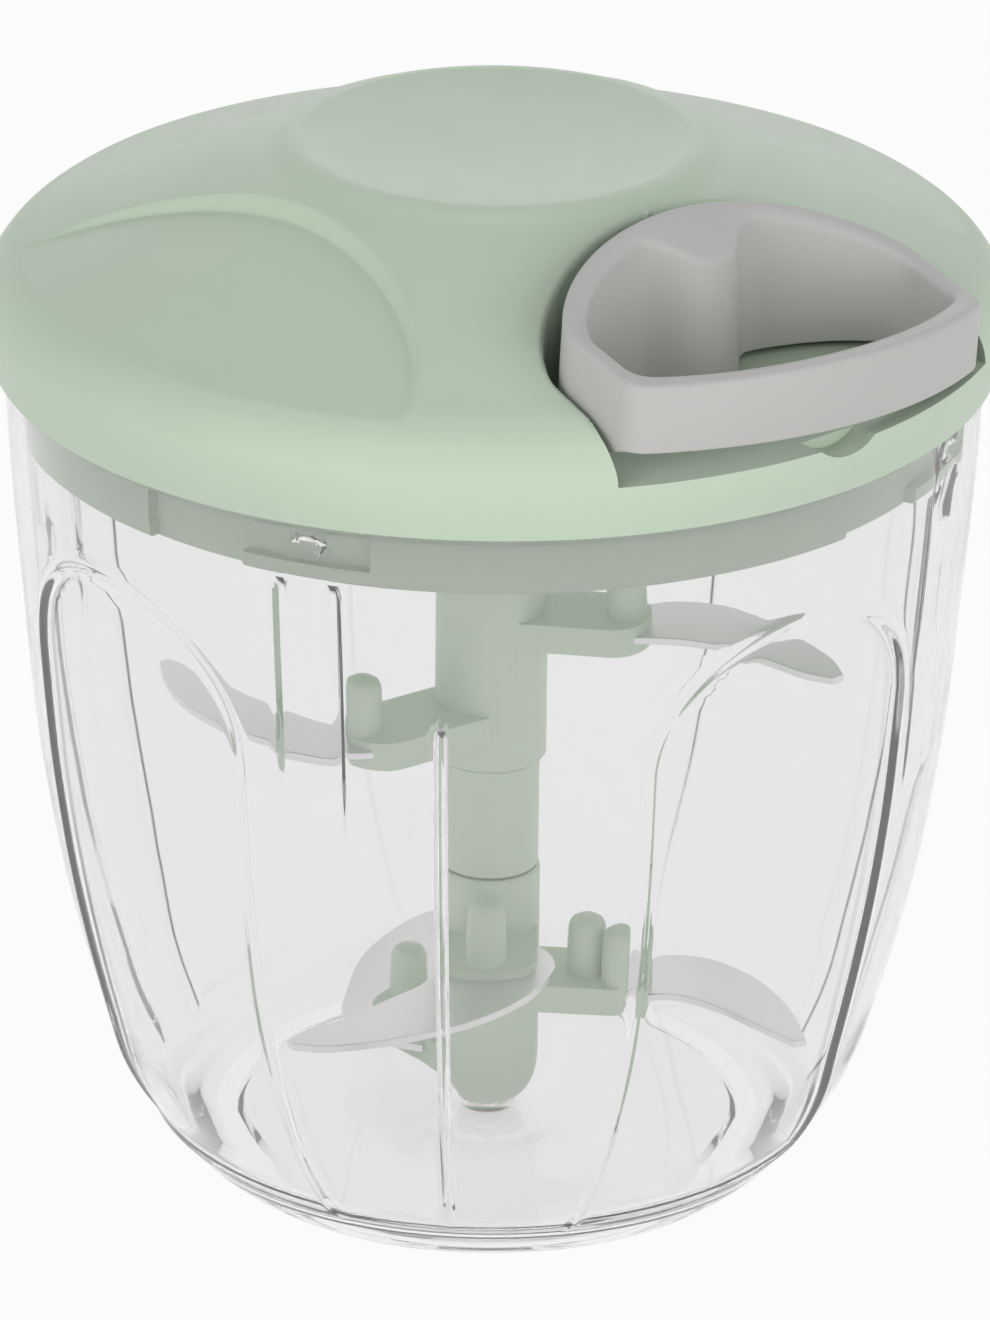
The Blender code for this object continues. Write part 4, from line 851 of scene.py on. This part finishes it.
def braid():
    """Braided cord: two sets of strands that cross along it."""
    material, board, shader = principled("braided_cord", Roughness=0.85)
    place = board.node("TexCoord", output="Object")
    strands = [board.node("TexWave", {"wave_type": "BANDS", "bands_direction": "DIAGONAL"},
                          {"Vector": board.node("Mapping", sockets={"Vector": place, "Scale": scale}),
                           "Scale": 900.0, "Distortion": 0.6, "Detail": 1.0})
               for scale in ((1.0, 1.0, 1.0), (-1.0, 1.0, 1.0))]
    weave = strands[0].maths("MAXIMUM", strands[1])
    two_tone(board, shader, weave, (0.50, 0.50, 0.47), (0.72, 0.72, 0.69))
    bumped(board, shader, weave, depth=0.0002, strength=0.7)
    return material


def tube(route):
    """The cord's round tube along a route at its own height, extruded from end to end."""
    turns = [math.tau * side / CORD_SIDES for side in range(CORD_SIDES)]
    places = []
    for before, point, after in zip([route[0]] + route[:-1], route, route[1:] + [route[-1]]):
        way = (after - before).normalized()
        places.append([Vector((point.x, point.y, CORD_HEIGHT + CORD_RADIUS * math.sin(turn)))
                       + Vector((-way.y, way.x, 0.0)) * (CORD_RADIUS * math.cos(turn))
                       for turn in turns])
    work = bmesh.new()
    loop = bmesh.ops.create_circle(work, cap_ends=True, segments=CORD_SIDES,
                                   radius=CORD_RADIUS)["verts"]
    for vert, place in zip(loop, places[0]):
        vert.co = place
    for ring_places in places[1:]:
        loop = next_loop(work, loop, ring_places)
    work.faces.new(loop)
    bmesh.ops.recalc_face_normals(work, faces=work.faces)
    return work


def make_cords():
    finish = braid()
    start, bend, after = polar(21.7 * MM, -28.5), Vector((0.0, -24.7 * MM)), Vector((0.0, -27.6 * MM))
    before = start.lerp(bend, 0.82)
    line = [start.lerp(bend, share) for share in (0.0, 0.3, 0.55, 0.75)]
    for step in range(7):
        share = step / 6
        line.append(before.lerp(bend, share).lerp(bend.lerp(after, share), share))
    line.append(Vector((0.0, -30.6 * MM)))
    settle(tube(line), "cord_to_eyelet", finish, "lid", "cord_fibre", "cord_lead")
    route = [Vector((0.0, -(30.65 + 5.35 * step / 60) * MM)) for step in range(61)]
    drawn = settle(tube(route), "cord_drawn_out", finish, None, "cord_fibre", "cord_pull")
    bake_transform(drawn)
    knot = bmesh.new()
    bmesh.ops.create_icosphere(knot, subdivisions=3, radius=2.1 * MM)
    for vert in knot.verts:
        turn = math.atan2(vert.co.z, vert.co.x)
        vert.co *= 1.0 + 0.07 * math.sin(3 * turn + vert.co.y / MM * 1.7)
    bmesh.ops.translate(knot, verts=knot.verts, vec=(0, -37.9 * MM, CORD_HEIGHT))
    settle(knot, "cord_end_knot", finish, "handle", "cord_fibre", "cord_knot", crease=80.0)
    eyelet = spun(in_metres([(1.5, 26.8), (1.9, 26.7), (3.0, 26.7), (3.0, 29.5), (4.1, 29.5),
                             (4.1, 29.9), (3.7, 30.25), (2.0, 30.3), (1.6, 30.1), (1.5, 29.7)]),
                  steps=48, ring=True)
    settle(laid(eyelet, CORD_HEIGHT), "steel_eyelet", pin_steel, "lid", "steel", "cord_eyelet")


make_cords()


# Reel, recoil spring and drive spindle
# Under the dome the white reel carries the wound cord, with a flat spiral spring in the cup on top of it
# and a steel disc over that. The keyed spindle runs down from it through a brass bush to the rotor.
def make_drive():
    white = moulded("white_reel_plastic", (0.76, 0.76, 0.73), 0.45)
    dress("reel", white)
    winding, board, shader = principled("wound_cord", Roughness=0.85)
    turns = board.node("TexWave", {"wave_type": "BANDS", "bands_direction": "Z"},
                       {"Vector": board.node("TexCoord", output="Object"), "Scale": 72.0,
                        "Distortion": 1.5, "Detail": 2.0, "Detail Scale": 30.0})
    two_tone(board, shader, turns, (0.42, 0.42, 0.40), (0.70, 0.70, 0.67))
    bumped(board, shader, turns, depth=0.0005, strength=0.8)
    dress("cord_winding", winding)
    spring_steel = steel("spring_steel", shade=0.45, roughness=0.3, brush=(1.0, 1.0, 0.2))
    dress("recoil_spring", spring_steel)
    dress("spring_cap", spring_steel)

    brass, board, shader = principled("bush_brass", Metallic=1.0)
    worn = cloud(board, size=0.003, detail=3.0)
    two_tone(board, shader, worn, (0.52, 0.37, 0.16), (0.68, 0.51, 0.25))
    board.plug(worn * 0.15 + 0.25, shader.inputs["Roughness"])
    bush = spun(in_metres([(5.9, 105.8), (5.9, 116.0), (9.5, 116.0), (9.5, 115.2), (6.7, 115.2),
                           (6.7, 105.8)]), steps=64, ring=True)
    settle(bush, "brass_bush", brass, "lid", "bush_brass", "spindle_bush")

    shaft = spun(in_metres([(0.0, 103.6), (7.9, 103.6), (8.2, 103.9), (8.2, 104.9), (7.9, 105.2),
                            (5.6, 105.2), (5.6, 116.0), (0.0, 116.0)]), steps=64)
    drive = rod(4.9 * MM, 91.6 * MM, 104.6 * MM, steps=6)
    uprights = [edge for edge in drive.edges if abs(edge.verts[0].co.z - edge.verts[1].co.z) > MM]
    bmesh.ops.bevel(drive, geom=uprights, offset=0.5 * MM, segments=3, profile=0.5, material=-1,
                    affect="EDGES")
    shaft = carved(shaft, [drive, rod(5.6 * MM, 115.0 * MM, 121.5 * MM, steps=6)], "UNION")
    shaft = carved(shaft, [rod(2.6 * MM, 90.0 * MM, 118.5 * MM),
                           rod(1.4 * MM, 117.5 * MM, 122.5 * MM, steps=16)])
    settle(shaft, "white_drive_spindle", white, "reel", "white_plastic", "drive_spindle")


make_drive()


# Rotor column
# Three mouldings stacked on one axis: the lower blade hub that turns on the pivot pin, the plain middle
# of the column, and the thicker upper sleeve whose hexagon socket takes the lid's spindle.
# The rotor's sage is painted lighter than the cover's. This is painted light, standing in for the lamp
# light that the clear bowl keeps from the parts inside it.
rotor_plastic = moulded("sage_rotor_plastic_painted_lighter", (0.680, 0.800, 0.650), 0.4)


def bar(bearing, reach, half_width, bottom, top, taper=1.0):
    """An arm: a flat bar with a rounded end, straight out from the axis on a bearing."""
    nose = half_width * 0.8
    turns = [math.pi * step / 14 for step in range(15)]
    points = [Vector((half_width * taper, 0.0))]
    points += [Vector((half_width * math.cos(turn), -reach + nose * (1 - math.sin(turn))))
               for turn in turns]
    points += [Vector((-half_width * taper, 0.0))]
    turned = Matrix.Rotation(math.radians(bearing), 2)
    return prism([turned @ point * MM for point in points], bottom * MM, top * MM)


def post(bearing, distance, bottom, top):
    """A clamping post with a domed top."""
    line = in_metres([(0.0, bottom), (2.75, bottom), (2.6, (bottom + top) / 2), (2.45, top - 1.4),
                      (2.1, top - 0.6), (1.3, top - 0.1), (0.0, top)])
    work = spun(line, steps=28)
    bmesh.ops.translate(work, verts=work.verts, vec=(*polar(distance * MM, bearing), 0.0))
    return work


def soften(piece, width, angle):
    """Round a piece's edges, as a mould does."""
    edge = piece.modifiers.new("soft_edges", "BEVEL")
    edge.width = width
    edge.segments = 2
    edge.limit_method = "ANGLE"
    edge.angle_limit = math.radians(angle)
    edge.harden_normals = True
    return piece


def make_sleeve(name, node, sleeve, arms, bores):
    """A blade sleeve: a turned column with its arms and posts joined on, bored out for its neighbours."""
    work = carved(carved(sleeve, arms, "UNION"), bores)
    piece = settle(work, name, rotor_plastic, "rotor", "rotor_plastic", node, crease=50.0)
    return soften(piece, 0.45 * MM, 40.0)


def make_column():
    middle = spun(in_metres([(0.0, 24.5), (4.8, 24.5), (4.8, 38.5), (6.2, 38.5), (6.4, 38.7),
                             (6.4, 53.7), (6.2, 53.9), (4.8, 53.9), (4.8, 89.3), (0.0, 89.3)]),
                  steps=96)
    settle(middle, "column_middle", rotor_plastic, "rotor", "rotor_plastic", "rotor_shaft")
    make_sleeve("upper_blade_sleeve", "upper_blade_hub",
                spun(in_metres([(0.0, 54.2), (6.95, 54.2), (7.25, 54.5), (7.25, 102.9),
                                (6.85, 103.3), (0.0, 103.3)]), steps=96),
                [bar(40.0, 20.8, 6.0, 71.1, 74.9), post(40.0, 17.5, 73.0, 82.4),
                 bar(-97.0, 22.6, 6.0, 58.3, 62.1), post(-97.0, 20.0, 60.0, 69.6)],
                [rod(5.1 * MM, 53.0 * MM, 89.6 * MM), rod(5.2 * MM, 91.0 * MM, 105.0 * MM, steps=6)])
    foot = flowing(in_metres([(4.2, 4.9), (5.0, 5.6), (5.9, 7.0), (6.45, 8.8), (6.65, 10.6)]),
                   0.6 * MM)
    make_sleeve("lower_blade_sleeve", "lower_blade_hub",
                spun(in_metres([(0.0, 4.9)]) + foot
                     + in_metres([(6.65, 37.9), (6.35, 38.2), (0.0, 38.2)]), steps=96),
                [bar(-43.0, 17.2, 6.6, 26.3, 30.1, 0.95), post(-43.0, 12.9, 28.0, 38.6),
                 bar(43.0, 21.0, 6.0, 19.5, 23.3), post(43.0, 13.0, 21.4, 31.2),
                 post(34.0, 18.0, 21.4, 31.0),
                 bar(-180.0, 19.6, 6.0, 8.5, 12.3), post(-180.0, 15.8, 10.4, 20.2)],
                [rod(3.9 * MM, 4.0 * MM, 8.6 * MM), rod(1.55 * MM, 6.0 * MM, 20.7 * MM, steps=16),
                 rod(5.1 * MM, 24.2 * MM, 39.2 * MM)])


make_column()


# Blades
# Five sickle blades punched from stainless sheet. Each is flat where its arm clamps it, rises a little
# towards its tip, and has its cutting edge on the long convex side.
blade_steel = steel("blade_steel", shade=0.82, roughness=0.34, brush=(1.0, 0.15, 1.0))
HALF_BLADE = 0.5
CLAMPED_RADIUS = 20.0 * MM


def make_blade(name, node, height, rise, leading, trailing):
    """A blade between its two edges, given as (radius in mm, bearing) from the root to the tip."""
    edges = [flowing([polar(radius * MM, bearing) for radius, bearing in edge], 1.2 * MM)
             for edge in (leading, trailing)]
    outline = edges[0] + edges[1][::-1]
    work = prism(outline, (height - HALF_BLADE) * MM, (height + HALF_BLADE) * MM)
    tip = max(point.length for point in outline)
    for vert in work.verts:
        share = max(0.0, (vert.co.xy.length - CLAMPED_RADIUS) / (tip - CLAMPED_RADIUS))
        vert.co.z += rise * MM * share
    piece = settle(work, name, blade_steel, "rotor", "steel", node, crease=30.0)
    return soften(piece, 0.16 * MM, 50.0)


make_blade("steel_blade_1", "blade_upper_right", 73.0, 2.5,
           [(8.4, 68.0), (14.0, 60.0), (18.0, 56.0), (21.4, 58.0), (30.1, 51.0), (34.8, 43.0),
            (39.8, 35.0), (43.5, 29.5), (46.8, 25.4), (50.0, 20.4)],
           [(8.4, 12.0), (14.0, 21.0), (18.0, 25.0), (21.4, 28.0), (26.8, 28.6), (33.4, 25.6),
            (39.9, 21.6), (45.4, 18.8), (49.4, 18.4)])
make_blade("steel_blade_2", "blade_upper_left", 60.2, 3.0,
           [(8.4, -69.0), (14.0, -78.0), (20.0, -84.0), (25.6, -90.0), (29.6, -98.5),
            (33.5, -107.0), (37.2, -115.0), (40.4, -124.5), (42.6, -134.0), (43.6, -139.4)],
           [(8.4, -125.0), (14.0, -116.0), (19.9, -113.5), (26.5, -123.2), (30.4, -128.6),
            (34.8, -134.4), (39.5, -140.2), (42.8, -141.2)])
make_blade("steel_blade_3", "blade_lower_front", 28.2, 2.6,
           [(8.6, 8.0), (10.6, 5.0), (13.7, -2.0), (18.4, -20.1), (23.3, -32.9), (30.2, -46.5),
            (35.4, -55.4), (41.1, -63.6), (45.4, -70.1), (46.4, -73.6)],
           [(8.6, -66.0), (17.1, -67.5), (25.8, -70.8), (36.1, -73.1), (42.4, -75.3),
            (45.7, -75.0)])
make_blade("steel_blade_4", "blade_lower_right", 21.4, 2.4,
           [(8.6, 70.0), (14.0, 62.0), (19.0, 58.0), (23.0, 61.0), (28.4, 56.0), (33.2, 46.7),
            (38.8, 34.8), (43.2, 25.6), (46.6, 18.9)],
           [(8.6, 16.0), (14.0, 24.0), (19.0, 28.5), (24.7, 32.6), (32.0, 27.4), (38.0, 22.1),
            (45.4, 17.4)])
make_blade("steel_blade_5", "blade_lower_back", 10.8, 1.2,
           [(8.6, -130.0), (13.0, -137.0), (18.4, -147.0), (21.6, -157.6), (24.6, -171.3),
            (29.8, -186.0), (34.0, -196.8), (38.6, -208.0), (40.0, -213.0)],
           [(8.6, -198.0), (17.0, -203.0), (25.8, -208.0), (34.0, -212.6), (39.0, -214.6)])
